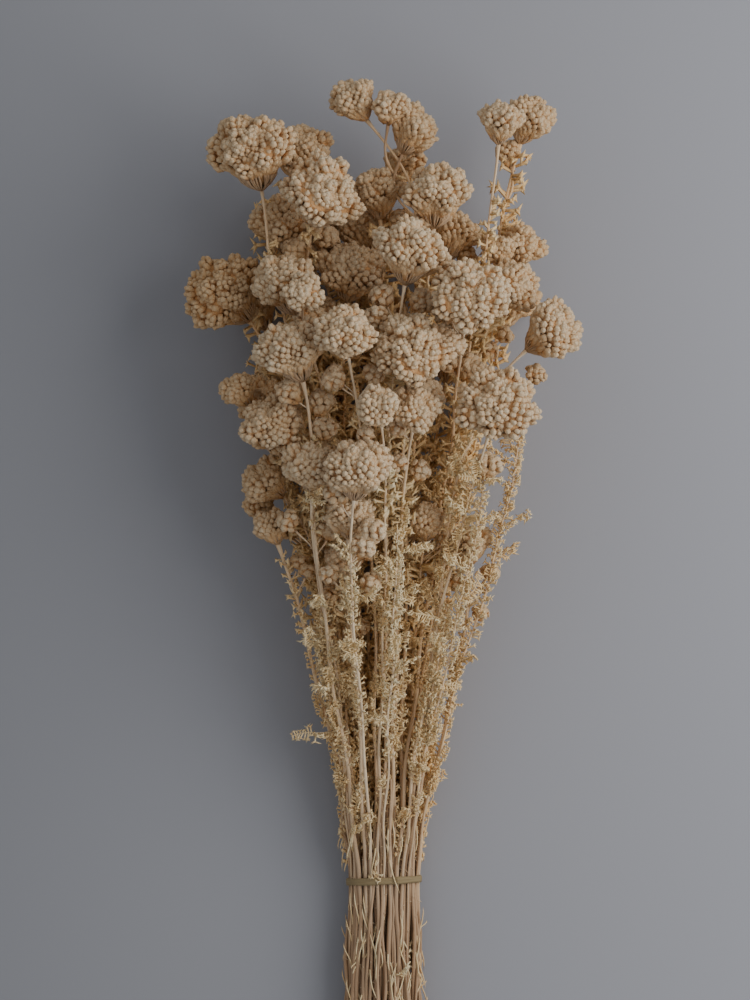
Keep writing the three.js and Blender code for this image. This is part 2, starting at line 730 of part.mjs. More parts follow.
function growLeaf(owner, strands, heads, placed, zone, spread) {
  const strand = strands.find((candidate) => candidate.owner === owner && !candidate.parent);
  for (let attempt = 0; attempt < LEAF_TRIES; attempt += 1) {
    const leaf = tryLeaf(strand, between(...zone), spread);
    if (!leaf || !leafIsClear(leaf, owner, strands, heads, placed)) continue;
    placed.push(leafSamples(leaf));
    return leaf;
  }
  return null;
}

// The tie: a flat band round the bundle, a little askew, flat where it rests
function tieSolid() {
  const inner = tieInner();
  const ring = (spare) => {
    const shape = new THREE.Shape();
    return shape.absellipse(0, 0, inner.x + spare, inner.z + spare, 0, 2 * Math.PI);
  };
  const band = ring(TIE_THICKNESS);
  band.holes.push(ring(0));
  const options = { depth: TIE_WIDTH, bevelEnabled: false, curveSegments: TIE_SEGMENTS };
  const geometry = new THREE.ExtrudeGeometry(band, options);
  geometry.translate(0, 0, -TIE_WIDTH / 2);
  geometry.rotateX(Math.PI / 2);
  geometry.rotateZ(radians(TIE_TILT));
  geometry.translate(0, 0, tieCentreHeight());
  return solidOfGeometry(geometry);
}

// Nothing reaches below the surface that the bunch lies on
function aboveSurface(solid) {
  const slab = new THREE.BoxGeometry(SLAB_SIZE, SLAB_SIZE, SLAB_SIZE);
  slab.translate(0, 0, -SLAB_SIZE / 2);
  return solid.subtract(solidOfGeometry(slab));
}

// The one body of a joined solid: hollows that the joining sealed are filled, loose scraps are dropped
function oneBody(solid) {
  return solid.decompose().reduce((best, piece) => (piece.volume() > best.volume() ? piece : best));
}

// Corners are moved to a fine grid, so that faces too thin to matter close up
function onGrid(solid) {
  const mesh = solid.simplify(FINEST_EDGE).getMesh();
  const geometry = new THREE.BufferGeometry();
  const places = mesh.vertProperties.map((value) => Math.round(value / GRID) * GRID);
  geometry.setAttribute('position', new THREE.BufferAttribute(places, 3));
  geometry.setIndex(new THREE.BufferAttribute(mesh.triVerts, 1));
  return solidOfGeometry(geometry).simplify(GRID);
}

function meshOf(name, solid, finish) {
  const geometry = geometryOf(oneBody(onGrid(solid)));
  const mesh = new THREE.Mesh(geometry, new THREE.MeshStandardMaterial(finish));
  mesh.name = name;
  return mesh;
}

// The bunch
const headsOf = {};
for (const [name, rows] of Object.entries(FLOWERING_STEMS)) headsOf[name] = rows.map(makeHead);
for (const [name, row] of Object.entries(LYING_STEMS)) headsOf[name] = [makeLyingHead(row)];
const heads = Object.entries(headsOf).flatMap(([owner, list]) => {
  list.forEach((head) => { head.owner = owner; });
  return list;
});
settleHeads(heads);

const shootTips = Object.entries(LEAFY_SHOOTS).map(([owner, place]) => ({ owner, tip: vec(...place) }));
const flowerTips = Object.entries(headsOf).map(([owner, list]) => ({ owner, tip: neckBase(list[0]) }));
const tips = [...flowerTips, ...shootTips];
const slots = assignSlots(tips.map(({ tip }) => tip));
const strands = tips.map(({ owner, tip }, index) => {
  const head = headsOf[owner]?.[0];
  if (!head) return mainStrand(owner, slots[index], tip, vec(0, 1, 0), null, SHOOT_DIAMETER / 2, false);
  const forked = headsOf[owner].length > 1;
  return mainStrand(owner, slots[index], tip, head.axis, insideHead(head), NECK_DIAMETER / 2, forked);
});
for (const main of [...strands]) {
  const sideHeads = (headsOf[main.owner] ?? []).slice(1);
  sideHeads.forEach((head) => strands.push(branchStrand(main, head)));
}
settleStems(strands, heads);

const placedLeaves = [];
const leavesOf = Object.fromEntries(tips.map(({ owner }) => [owner, []]));
for (const { owner, tip } of shootTips) {
  for (let i = 0; i < LEAVES_PER_SHOOT; i += 1) {
    const zone = SHOOT_LEAF_BELOW.map((below) => tip.y - below - SHOOT_LEAF_STEP * i);
    const leaf = growLeaf(owner, strands, heads, placedLeaves, zone, Math.PI);
    if (leaf) leavesOf[owner].push(leaf);
  }
}
const highestFirst = [...flowerTips].sort((one, other) => other.tip.z - one.tip.z);
for (let i = 0; i < LEAF_COUNT; i += 1) {
  const { owner } = highestFirst[i];
  const leaf = growLeaf(owner, strands, heads, placedLeaves, LEAF_ZONE, LEAF_SPREAD);
  if (leaf) leavesOf[owner].push(leaf);
}

function plantSolid(owner) {
  const solids = strands.filter((strand) => strand.owner === owner).map(tubeSolid);
  solids.push(...(headsOf[owner] ?? []).map(headSolid));
  solids.push(...leavesOf[owner].map(leafSolid));
  return solids.reduce((sum, solid) => sum.add(solid));
}

const pieces = tips.map(({ owner }) => {
  const finish = headsOf[owner] ? COLOURS.stem : COLOURS.shoot;
  return { name: owner, solid: aboveSurface(plantSolid(owner)), finish };
});
pieces.push({ name: 'tie', solid: aboveSurface(tieSolid()), finish: COLOURS.tie });

// The origin is the middle of the base of the bunch's own box
const box = new THREE.Box3();
for (const { solid } of pieces) {
  const { min, max } = solid.boundingBox();
  box.expandByPoint(vec(...min)).expandByPoint(vec(...max));
}
const middle = box.getCenter(vec(0, 0, 0));
const bunch = new THREE.Group();
for (const { name, solid, finish } of pieces) {
  bunch.add(meshOf(name, solid.translate([-middle.x, -middle.y, -box.min.z]), finish));
}

export default bunch;
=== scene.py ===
from math import acos, cos, degrees, pi, radians, sin, sqrt, tan, tau

import bpy
import numpy as np
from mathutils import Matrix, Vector
from mathutils.bvhtree import BVHTree
from numpy.linalg import lstsq, norm, svd

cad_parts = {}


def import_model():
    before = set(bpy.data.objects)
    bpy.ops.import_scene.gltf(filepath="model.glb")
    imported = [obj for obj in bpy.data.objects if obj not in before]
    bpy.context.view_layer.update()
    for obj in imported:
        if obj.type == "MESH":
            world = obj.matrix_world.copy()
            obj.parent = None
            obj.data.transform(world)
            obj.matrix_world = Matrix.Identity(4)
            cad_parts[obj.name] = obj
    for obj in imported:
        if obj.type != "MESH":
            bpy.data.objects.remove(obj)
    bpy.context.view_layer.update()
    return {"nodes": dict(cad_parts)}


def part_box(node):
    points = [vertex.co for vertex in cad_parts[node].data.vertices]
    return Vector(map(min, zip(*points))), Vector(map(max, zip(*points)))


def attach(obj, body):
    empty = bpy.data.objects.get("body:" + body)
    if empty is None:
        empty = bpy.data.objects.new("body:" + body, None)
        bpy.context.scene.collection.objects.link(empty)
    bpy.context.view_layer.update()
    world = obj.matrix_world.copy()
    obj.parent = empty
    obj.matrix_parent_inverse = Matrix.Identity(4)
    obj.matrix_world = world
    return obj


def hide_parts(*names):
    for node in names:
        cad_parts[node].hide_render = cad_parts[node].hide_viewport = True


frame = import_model()

# Everything below is in millimetres until a mesh is made. A pair in brackets is a range
MM = 0.001
SEED = 20417
SHOOT_SEEDS = 100
SWAY_SEED = 1
GOLDEN_TURN = pi * (3 - sqrt(5))
STEEP = 0.9
TINY = 1e-6
LEAST_POINTS = 3
FLOOR_GAP = 0.05

# The photo's frame: how large a pixel is, and the pixel where the tie sits
PHOTO_SIZE = (750, 1000)
PIXEL = 0.6
TIE_PIXEL = (384, 885)
CAMERA_DISTANCE = 4500
SEEN_HEIGHT = 75
SENSOR_HEIGHT = 24

# A flower head, as shares of its width
PROFILE_ANGLES = [0, 35, 62, 86, 104, 130, 155, 180]
PROFILE_RADII = [0.36, 0.41, 0.47, 0.50, 0.46, 0.37, 0.40, 0.50]
NECK_SHARE = 0.50
NECK_LENGTH = 8
HUB_SHARE = 0.46
HEAD_CLEARANCE = 1.1
HEAD_PRESS = 2.2
HEAD_ROUNDS = 300
HEAD_FIRMNESS = (0.2, 0.2, 1.0)
LARGE_HEAD = 30

# The lumps of a head: clusters of florets
MEAN_RADIUS = 0.44
LEAST_CLUSTERS = 4
CLUSTER_SPACING = 13
CLUSTERS_END_ANGLE = 100
CLUSTER_WANDER = 0.09
CLUSTER_LIFT = (-0.075, 0.05)
CLUSTER_SINK = 0.075
SINK_REACH = 1.3
LUMPS_FADE = (110, 150)

# A floret
FLORET_PITCH = 3.85
LYING_PITCH = 4.7
ROW_SHARE = 0.866
FLORET_RADIUS = 2.35
FLORET_LENGTH = 7.2
FLORET_WIDTHS = (0.78, 1.10)
FLORET_LENGTHS = (0.85, 1.15)
FLORETS_END_ANGLE = 124
LOW_ANGLES = (84, 116)
LOW_LENGTHENING = 0.8
LOW_NARROWING = 0.1
AIM_BELOW = (0.20, 0.46)
CLUSTER_LEAN = 0.5
PLACE_WANDER = 0.13
AXIS_WANDER = 0.07
FLORET_LIFT = 0.5
FLORET_SIDES = 5
FLORET_RINGS = [
    # (height, radius, how far the colour has gone from the foot to the tip)
    (-0.72, 0.60, 0.22),
    (-0.32, 1.00, 0.68),
    (-0.03, 0.72, 1.0),
]
FLORET_PEAK = (0.10, 0.9)
FLORET_STIR = 0.27
FLORET_SPARE = [0.3, 0.2, 1.0]
# Painted shade: florets near a cluster's edge, low on the head and deep in the bunch are painted warmer and
# darker
EDGE_FROM = 0.6
CLUSTER_EDGE_SHADE = 0.35
LOW_SIDE_SHADE = 0.25
FLORET_DEPTH_SHADE = 0.8

# The core that the florets stand out of, and the stalks under it
CORE_DEPTH = 3.3
CORE_SIDES = (9, 20)
CORE_ANGLES = (2, 172)
CORE_RINGS = (7, 14)
# The core takes the florets' foot colour, partly painted crevice shade
CORE_TIP = 0.16
RAYS_PER_WIDTH = 1.7
RAY_START = 177
RAY_ENDS = (100, 130)
RAY_WANDER = 0.1
RAY_DEPTH = (0.9, 2.6)
RAY_FOOT_DEPTH = 0.4
RAY_POINTS = 5
RAY_RADII = (0.42, 0.95)
RAY_TIP = 0.3
# Painted shade on the stalks under a head, and more deep in the bunch
RAY_UNDER_SHADE = 0.25
RAY_DEPTH_SHADE = 0.5

# Stems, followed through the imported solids
STEM_RADIUS = 1.47
STEM_SHARES = (0.76, 1.05)
STEM_SIDES = 7
NECK_RADIUS = 0.9
NECK_SWELLS = (1.25, 1.9)
BRANCH_RADIUS = 0.75
BRANCH_SIDES = 6
BRANCH_SWELLS = (1.7, 1.2)
BRANCH_DROP = 25
BRANCH_JOIN = 2.4
BRANCH_SUNK = 2
BRANCH_RING_STEP = 3.5
BRANCH_MOST_STEPS = 60
BRANCH_STEP = 1.5
SHOOT_RADII = (1.1, 0.55)
STEM_STEP = 6.0
STEM_ROUNDS = 60
BRANCH_ROUNDS = 14
MAIN_STEP = 2.5
MOST_STEPS = 400
FOOT_SLICE = 1.3
ARRIVAL = 3
ARRIVAL_REACH = 14
GOAL_PULL = 0.12
STEADINESS = 0.35
SPOKES = 10
SPOKE_REACH = 1.7
LEAST_HITS = 5
MOST_SHIFT = 0.8
WELD_DIGITS = 2

# A stem's surface: its joints, its sway, and how its grain is read
STEM_STIR = (0.90, 1.06)
FIRST_JOINT = (3, 9)
JOINT_GAPS = (6, 13)
JOINT_SWELLS = (1.12, 1.24)
JOINTLESS_END = 4
SWAYS = (0.5, 1.3)
SWAY_LENGTHS = (60, 120)
SWAY_FROM_TIE = (3, 30)
SWAY_FROM_TOP = (15, 60)
GRAIN_SCALE = 0.1
GRAIN_RING = 0.55
GRAIN_RISE = 0.05
GRAIN_OFFSETS = (0, 100)

# Side clusters on thin stalks, below and behind the heads
SIDE_HEADS = 3
LYING_SIDE_HEADS = 4
LYING_SPREAD = 1.7
SIDE_HEAD_WIDTHS = (0.34, 0.48)
SIDE_HEAD_BELOW = (2, 34)
SIDE_HEAD_REACH = (8, 15)
SIDE_HEAD_ZONE = (55, 420)
SIDE_HEAD_LOWEST = 60
SIDE_AWAY = (0.5, 1.0)
SIDE_RISE = (-0.9, 0.1)
SIDE_AXIS = (0.9, 0.6)
SIDE_FORWARD = 1.5
SIDE_ABOVE_FLOOR = 0.55
SIDE_PULLS = (0.6, 0.5)
SIDE_STALK_RADII = [0.75, 0.55, 0.5, 0.5, 0.55, 0.8]
STALK_SIDES = 5

# Leaves, cut to the rib: a lobe is a bent strand with two smaller ones
LOBE_RADII = [0.45, 0.70, 0.0]
LOBE_TIPS = [0.25, 0.8, 1.0]
LOBE_STEP = 1.6
LOBE_SIZES = (0.75, 1.25)
LOBE_LENGTHS = (0.7, 0.4)
LOBE_TIP_LENGTHS = (0.3, 0.6)
# How far each strand of a lobe aims outward, and its ranges forward and upward
LOBE_AIM = (1.0, (0.0, 0.9), (-0.3, 1.3))
LOBE_CURL_AIM = (0.5, (-0.5, 1.1), (-0.9, 0.9))
LOBE_TIP_AIM = (0.4, (0.4, 1.1), (-0.6, 0.9))
# Painted shade: leaves, shreds and fibres deeper in the bunch are painted warmer and darker, by this share
LEAF_DEPTH_SHADE = 0.8
LEAF_LEAST_STATIONS = 5
LEAF_BENDS = (-0.6, 2.6)
LEAF_OUTLINE = (0.14, 0.78)
LEAF_FULLNESS = 0.8
RIB_WANDER = 0.16
RIB_ROLL = (-0.3, 0.3)
RIB_RADII = (0.5, 0.25)
RIB_TIP = 0.4
STRAND_SIDES = 3
STRAND_SPARE = [0.31, 0.17, 0.93]

# Packed leaves of the solids, and loose leaves
LEAF_LEAST_GAP = 3.4
LEAF_LEAST_CORNERS = 8
LEAF_WIDEST = 13
LEAF_ROOT = 0.8
HEAD_ZONE = 0.53
PACKED_CURLS = (-0.3, 0.5)
LOOSE_CURLS = (-1.2, 1.6)
LOOSE_WIDTHS = (6.5, 10.5)
LOOSE_SPREAD = 1.1
STEM_SKIN = 0.9

# Sheaths: small lobes all round a stretch of stem
SHEATH_STEP = 0.85
SHEATH_ROOT = 0.7
SHEATH_ENDS = 0.2
SHEATH_SWELL = (0.55, 0.45)

# Short fibres: where the bend is, and where the end is, as shares outward and along the stem
FIBRES = 30
FIBRE_RADII = [0.26, 0.20, 0.0]
FIBRE_BEND = (0.8, (-0.5, 1.2), 1.1)
FIBRE_END = ((0.1, 1.0), (-1, 1), 1.8)

# Loose shreds of bark and leaf on the bare part of the stems
SHREDS = 9
SHRED_LENGTHS = (4, 22)
SHRED_POINTS = 6
SHRED_RADII = (0.60, 0.36)
SHRED_ZONE = (-98, 44)
SHRED_GAP = (-26, 4)
SHRED_SCATTER = 0.5
SHRED_LEAN = 0.16
SHRED_CURLS = (0.4, 1.5)
SHRED_WAVES = (3.4, 4.0)
SHRED_LIFT = (1.1, 1.3)
SHRED_FOOT_SWING = 0.3
SHRED_TIP = 0.7

# Thin bare stalks that wind along the stems through the tie
STALK_FOOT = -119
STALK_ENDS = (10, 70)
STALK_RADII = (0.75, 1.15)
STALK_OFFSETS = (2.0, 2.8)
STALK_TURNS = (-5, 5)
STALK_STEP = 9
STALK_TIP = 0.3
STALK_HOLD = (20.4, 13.0)
STALK_HELD_AT = (12, 30)

# The upper surface of the bunch: its height at distances up from the tie. Painted shade deepens below it
SURFACE_AT = [0, 100, 200, 300, 450]
SURFACE = [31, 58, 88, 115, 130]
SURFACE_SKIN = 3
# How deep below the surface the painted shade is full, as a share of the surface's height
FULL_SHADE_DEPTH = 0.65

# How the stems are dressed, measured up from the tie
HIGH_STEM = 34
LEAFY_REACH = 250
LEAFLESS_TOP = 12
FAN_INSIDE = (15, 0.15)
MOSTLY = 0.6
# Loose leaves: how many, from where, their lengths and their lean from the stem
HIGH_LEAVES = (5, 25, (14, 28), (2, 20))
LOW_LEAVES = (2, 25, (14, 26), (4, 30))
SHOOT_LEAVES = (8, 40, (12, 24), (4, 26))
FOOT_LEAF = (1, -110, (6, 14), (8, 50))
FOOT_LEAF_TOP = 24
FOOT_LEAF_CHANCE = 0.7
# Sheaths: lowest start, start below the tip, highest end, end above the tip, radius, thickness
FAR = 1000
HIGH_SHEATHS = [(210, FAR, FAR, -24, 9.0, 1.9)]
DEEP_SHEATHS = [(8, FAR, 110, 0, 6.0, 2.0), (30, FAR, FAR, -26, 7.0, 1.7), (150, 120, FAR, 5, 13.0, 2.3)]
EDGE_SHEATHS = [(12, FAR, FAR, -26, 4.2, 1.15), (150, 90, FAR, 2, 7.0, 1.4)]
SHORT_SHEATHS = 3
SHORT_SHEATH_FROM = (10, 30)
SHORT_SHEATH_LENGTHS = (20, 50)
SHORT_SHEATH_RADII = (3.4, 5.2)
# A shoot's sheaths: where each starts, as a share of the shoot, and its radius
SHOOT_SHEATHS = [(0.35, 5.4), (0.60, 4.4)]
SHOOT_SHEATH_END = 5

# The tie: a flat band with its end tucked over
TIE_INNER = (22.05, 14.65)
TIE_BAND = 0.9
TIE_WIDTH = 4.3
TIE_TILT = radians(2.5)
TIE_STEPS = 96
TIE_LEAST_STEPS = 6
TIE_LOOK = (0.5, 0.4, 0.1)
TIE_GRAIN = (1.6, 0.8)
# Its unevenness: [amplitude, waves round the tie]
TIE_STIRS = [(0.12, 5), (0.08, 11)]
TIE_EDGE_STIR = (0.15, 7)
TIE_SHOULDER = (0.8, 0.55)
# The tucked end: angles, inner and outer reach and width as shares of the band's
TUCK_ANGLES = (0.2, 1.25)
TUCK_REACH = (0.9, 1.55)
TUCK_WIDTH = 0.86

# The florets' colour from foot to tip, the feet partly their own tan and partly painted crevice shade, and
# the knobs on them
FRESH = [
    (0.0, (0.78, 0.44, 0.18)), (0.30, (0.77, 0.50, 0.265)), (0.62, (0.76, 0.57, 0.36)),
    (0.88, (0.77, 0.64, 0.44)), (1.0, (0.78, 0.66, 0.47)),
]
# Darker colours for florets of an older random tone, and for painted shade
AGED_AND_SHADED = [
    (0.0, (0.65, 0.28, 0.07)), (0.35, (0.66, 0.35, 0.12)), (0.75, (0.66, 0.41, 0.185)),
    (1.0, (0.68, 0.47, 0.25)),
]
FLORET_ROUGHNESS = 0.85
FLORET_TONES = 0.40
DEEPEST_SHADE = 0.85
KNOB_SCALE = 7.5
# Painted shade in the gaps between knobs, and paler knob tops
KNOB_GAP_SHADE = (0.34, 0.66, 0.35, (0.66, 0.38, 0.17))
KNOB_TOPS = (0.30, 0.10, 0.30, (0.91, 0.82, 0.64))
KNOB_BUMP = (0.75, 0.0007)

# Straw: colours for pale, deep, painted shade and foot or patches, and how far the foot's colour goes
STEM_STRAW = ((0.94, 0.81, 0.61), (0.86, 0.66, 0.43), (0.90, 0.58, 0.28), (0.40, 0.24, 0.13), 0.84)
LEAF_STRAW = ((0.97, 0.86, 0.58), (0.97, 0.75, 0.42), (0.97, 0.60, 0.23), (0.95, 0.70, 0.36), 0.5)
TIE_STRAW = ((0.36, 0.28, 0.15), (0.29, 0.21, 0.10), (0.22, 0.15, 0.07), (0.22, 0.15, 0.07), 0.0)
STRAW_ROUGHNESS = 0.72
STRAW_TONES = 0.45
# Noise: scale and detail, and the values between which it sets in
STREAKS = (2.4, 4.0)
STREAKS_FROM = (0.40, 0.62)
PATCHES = (1.1, 2.0)
PATCHES_FROM = (0.54, 0.70)
PATCHES_SHARE = 0.45
FOOT_FADE = (0.5, 0.2)
STRAW_GRAIN = (3.2, 3.0)
STRAW_BUMP = (0.5, 0.0004)

# The floor, in metres, and the light: name, place, target, size, power and colour
FLOOR_REACH = 6.0
FLOOR_ROUGHNESS = 0.9
# Painted shade on the floor: darker to the left and paler to the right, as the light falls off
FLOOR_SHADE_FADE = (-0.25, 0.30)
FLOOR_SHADED_LEFT = (0.283, 0.292, 0.320)
FLOOR_LIT_RIGHT = (0.430, 0.444, 0.492)
FLOOR_CLOUD = (0.375, 0.385, 0.420)
FLOOR_CLOUDS = (1.5, 3.0)
FLOOR_CLOUD_SHARE = 0.3
LIGHTS = [
    ("key", (1.10, 0.25, 0.84), (0, 0.02, 0.05), 1.6, 15.8, (1.0, 0.97, 0.94)),
    ("fill", (-0.9, 0.9, 1.6), (0, 0.05, 0.05), 1.6, 1, (0.95, 0.97, 1.0)),
]
WORLD_COLOUR = (0.96, 0.97, 1.0, 1)
WORLD_STRENGTH = 0.36

# The bunch's own tables: [x, y, z, width, turn, tip] of each head, y from the tie
FLOWERING_STEMS = {
    "flower_top_left": [[-79, 440, 98, 56, -14, 26]],
    "flower_top_left_inner": [[-37, 413, 106, 54, 18, 48]],
    "flower_top_left_back": [[-50, 441, 56, 42, 8, 25]],
    "flower_top_left_low": [[-60, 398, 58, 44, -8, 22]],
    "flower_topmost": [[-18, 471, 82, 32, -32, 14], [4, 467, 88, 26, 8, 20], [18, 454, 78, 36, 24, 4]],
    "flower_topmost_back": [[-4, 416, 60, 38, -4, 12], [12, 434, 46, 28, 30, -8]],
    "flower_middle_back": [[-13, 397, 40, 36, -6, 12]],
    "flower_upper_middle": [[32, 414, 98, 45, 6, 16]],
    "flower_upper_middle_back": [[46, 391, 60, 38, 20, -5]],
    "flower_upper_pale": [[16, 380, 124, 47, 10, 18]],
    "flower_far_right_inner": [[69, 458, 98, 32, 2, 16]],
    "flower_far_right": [[87, 461, 64, 36, 18, 18], [75, 441, 56, 20, -10, 6]],
    "flower_right_pair": [[84, 385, 56, 30, 25, 20], [66, 382, 66, 25, -12, 22]],
    "flower_right_small": [[79, 358, 84, 36, 34, 32]],
    "flower_right_large": [[52, 350, 130, 52, 14, 52]],
    "flower_outer_right": [[99, 335, 92, 44, 54, 16], [92, 307, 72, 15, 35, 20]],
    "flower_outer_left": [[-95, 356, 66, 54, -42, 30]],
    "flower_left_side": [[-61, 361, 92, 46, -22, 20], [-48, 354, 124, 27, 6, 66]],
    "flower_centre_back": [[-19, 370, 74, 46, 8, 26]],
    "flower_left_middle": [[-56, 321, 116, 47, -22, 22]],
    "flower_centre_left": [[-20, 328, 136, 39, -8, 48]],
    "flower_centre_large": [[13, 319, 130, 52, 2, 50], [33, 325, 118, 30, 30, 34]],
    "flower_centre_low": [[-3, 286, 140, 32, -10, 52]],
    "flower_centre_low_right": [[19, 285, 124, 34, 12, 50]],
    "flower_left_edge": [[-74, 290, 56, 36, -20, 34], [-88, 297, 74, 26, -38, 12]],
    "flower_left_low": [[-64, 272, 96, 43, -14, 46]],
    "flower_left_low_inner": [[-45, 254, 106, 37, -4, 40]],
    "flower_low_pale": [[-18, 250, 124, 45, 8, 30]],
    "flower_low_left_edge": [[-72, 243, 60, 34, -48, 20], [-75, 228, 44, 22, -40, 14]],
    "flower_lowest_left": [[-68, 216, 60, 27, -20, 10]],
    "flower_right_low_large": [[66, 287, 122, 52, 12, 50]],
    "flower_low_right": [[50, 205, 54, 31, -4, 6]],
    "flower_stems_left": [[-24, 195, 66, 31, -4, 28]],
    "flower_stems_pale": [[-21, 222, 88, 33, 2, 22]],
    "flower_stems_right": [[26, 219, 60, 28, 8, 22]],
}

# [x, y, width, turn] of the heads that the bunch lies on
LYING_STEMS = {
    "flower_under_top_left": [-34, 402, 44, -4],
    "flower_under_top_right": [24, 386, 44, 10],
    "flower_under_centre": [-6, 340, 46, -2],
    "flower_under_left": [-56, 306, 44, -20],
    "flower_under_right": [42, 322, 44, 12],
    "flower_under_far_left": [-80, 350, 38, -30],
    "flower_under_far_right": [78, 352, 38, 26],
    "flower_under_low": [0, 274, 40, 0],
}

# [x, y, z] of each leafy shoot's tip
LEAFY_SHOOTS = {
    "shoot_right_outer": [81, 268, 70],
    "shoot_right_inner": [60, 246, 84],
    "shoot_right_low": [38, 168, 62],
    "shoot_centre": [8, 214, 92],
    "shoot_left_low": [-38, 166, 60],
    "shoot_under": [22, 190, 24],
}

# Heads to the left stand in the shade of the others
SHADE = 0.45
SHADE_AT = (-105, -55)

tie_low, tie_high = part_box("tie")
TIE_CENTRE = np.array((tie_low + tie_high) / 2) / MM
TIE_Y = TIE_CENTRE[1]
TIE_AT = np.array([TIE_CENTRE[0], TIE_Y, 0.0])


# Small helpers
def unit(vectors):
    return vectors / norm(vectors, axis=-1, keepdims=True)


def squared(vectors, axes):
    """The vectors, made square to the axes"""
    return unit(vectors - axes * np.sum(vectors * axes, axis=-1, keepdims=True))


def square_to(axis):
    """Two directions square to an axis and to each other"""
    spare = np.array([0.0, 0.0, 1.0]) if abs(axis[2]) < STEEP else np.array([1.0, 0.0, 0.0])
    side = unit(np.cross(spare, axis))
    return side, np.cross(axis, side)


def circle(count):
    return tau * np.arange(count) / count


def turned(side, up, around):
    """The direction that lies at an angle from side towards up"""
    return side * np.cos(around) + up * np.sin(around)


def spokes(axes, spare, around):
    """Directions square to the axes, at angles round them"""
    side = unit(np.cross(axes, spare))
    return turned(side, np.cross(axes, side), around)


def spherical(angles, around):
    """Directions at angles from +Z, in degrees, and turned round it, in radians"""
    tilt, around = np.broadcast_arrays(np.radians(angles), around)
    return np.stack([np.sin(tilt) * np.cos(around), np.sin(tilt) * np.sin(around), np.cos(tilt)], axis=-1)


def axis_of(turn, tip):
    flat = cos(radians(tip))
    around = radians(turn)
    return (sin(around) * flat, cos(around) * flat, sin(radians(tip)))


def linked(name, data):
    made = bpy.data.objects.new(name, data)
    bpy.context.scene.collection.objects.link(made)
    return made


# Where the heads sit: they press against each other as in the solid part
class Head:
    def __init__(self, owner, row, lying):
        x, y, z, self.width, turn, tip = row
        self.owner = owner
        self.axis = axis_of(turn, tip)
        self.lying = lying
        self.centre = [x, y, z]
        if lying:
            self.centre[2] = self.reach(0.0, 0.0, -1.0) - HEAD_PRESS

    def reach(self, x, y, z):
        cosine = x * self.axis[0] + y * self.axis[1] + z * self.axis[2]
        angle = degrees(acos(max(-1.0, min(1.0, cosine))))
        return float(np.interp(angle, PROFILE_ANGLES, PROFILE_RADII)) * self.width

    def settle(self, centre, axis, shade):
        """Takes the head's final place, and what hangs on it"""
        self.centre = centre
        self.axis = axis
        self.shade = shade
        self.neck = centre - axis * (NECK_SHARE * self.width + NECK_LENGTH)
        self.hub = centre - axis * HUB_SHARE * self.width
        side, up = square_to(axis)
        self.frame = np.stack([side, up, axis])


def push_apart(one, other):
    if one.owner == other.owner:
        return
    across = [b - a for a, b in zip(one.centre, other.centre)]
    distance = sqrt(sum(value * value for value in across))
    if distance >= (one.width + other.width) / 2 + HEAD_CLEARANCE:
        return
    x, y, z = (value / distance for value in across)
    short = one.reach(x, y, z) + other.reach(-x, -y, -z) + HEAD_CLEARANCE - distance
    if short <= 0:
        return
    for k, part in enumerate((x, y, z)):
        push = part * HEAD_FIRMNESS[k] * short / 2
        one.centre[k] -= push
        other.centre[k] += push


def settle_heads(heads):
    for _ in range(HEAD_ROUNDS):
        for i, one in enumerate(heads):
            for other in heads[i + 1:]:
                push_apart(one, other)
        for head in heads:
            lowest = head.reach(0.0, 0.0, -1.0) + (-HEAD_PRESS if head.lying else HEAD_CLEARANCE)
            if head.lying or head.centre[2] < lowest:
                head.centre[2] = lowest


def all_heads():
    heads = [Head(owner, row, False) for owner, rows in FLOWERING_STEMS.items() for row in rows]
    for owner, (x, y, width, turn) in LYING_STEMS.items():
        heads.append(Head(owner, [x, y, 0.0, width, turn, 0], True))
    settle_heads(heads)
    for head in heads:
        shade = SHADE * float(np.interp(head.centre[0], SHADE_AT, (1, 0)))
        head.settle(np.array(head.centre) + TIE_AT, np.array(head.axis), shade)
    return heads


# Where the stems run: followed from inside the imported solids
class Solid:
    def __init__(self, name):
        mesh = frame["nodes"][name].data
        flat = np.empty(len(mesh.vertices) * 3)
        mesh.vertices.foreach_get("co", flat)
        welded = np.round(flat.reshape(-1, 3) / MM, WELD_DIGITS)
        self.points, same = np.unique(welded, axis=0, return_inverse=True)
        same = same.ravel()
        self.faces = [same[list(face.vertices)].tolist() for face in mesh.polygons]
        self.tree = BVHTree.FromPolygons([Vector(point) for point in self.points], self.faces)

    def centred(self, point, heading, radius):
        """The point, moved to the middle of the tube round it"""
        side, up = square_to(heading)
        rows = []
        found = []
        for around in circle(SPOKES):
            spoke = turned(side, up, around)
            hit = self.tree.ray_cast(Vector(point), Vector(spoke), SPOKE_REACH * radius)
            if hit[0] is not None:
                rows.append([1.0, cos(around), sin(around)])
                found.append(hit[3])
        if len(found) < LEAST_HITS:
            return point
        _, right, high = lstsq(np.array(rows), np.array(found), rcond=None)[0]
        shift = side * right + up * high
        return point + shift * min(1.0, MOST_SHIFT * radius / max(norm(shift), TINY))


def follow(solid, start, heading, radius, step, goal, done):
    """Points along the middle of a tube towards the goal, until done says that it is there"""
    points = [start]
    for _ in range(MOST_STEPS):
        ahead = points[-1] + heading * step
        if done(ahead):
            break
        ahead = solid.centred(ahead, heading, radius)
        onward = STEADINESS * heading + (1 - STEADINESS) * unit(ahead - points[-1])
        heading = unit(onward + GOAL_PULL * unit(goal - ahead))
        points.append(ahead)
    return points


def smoothed(points, rounds):
    line = np.array(points)
    for _ in range(rounds):
        line[1:-1] = (line[:-2] + 2 * line[1:-1] + line[2:]) / 4
    return line


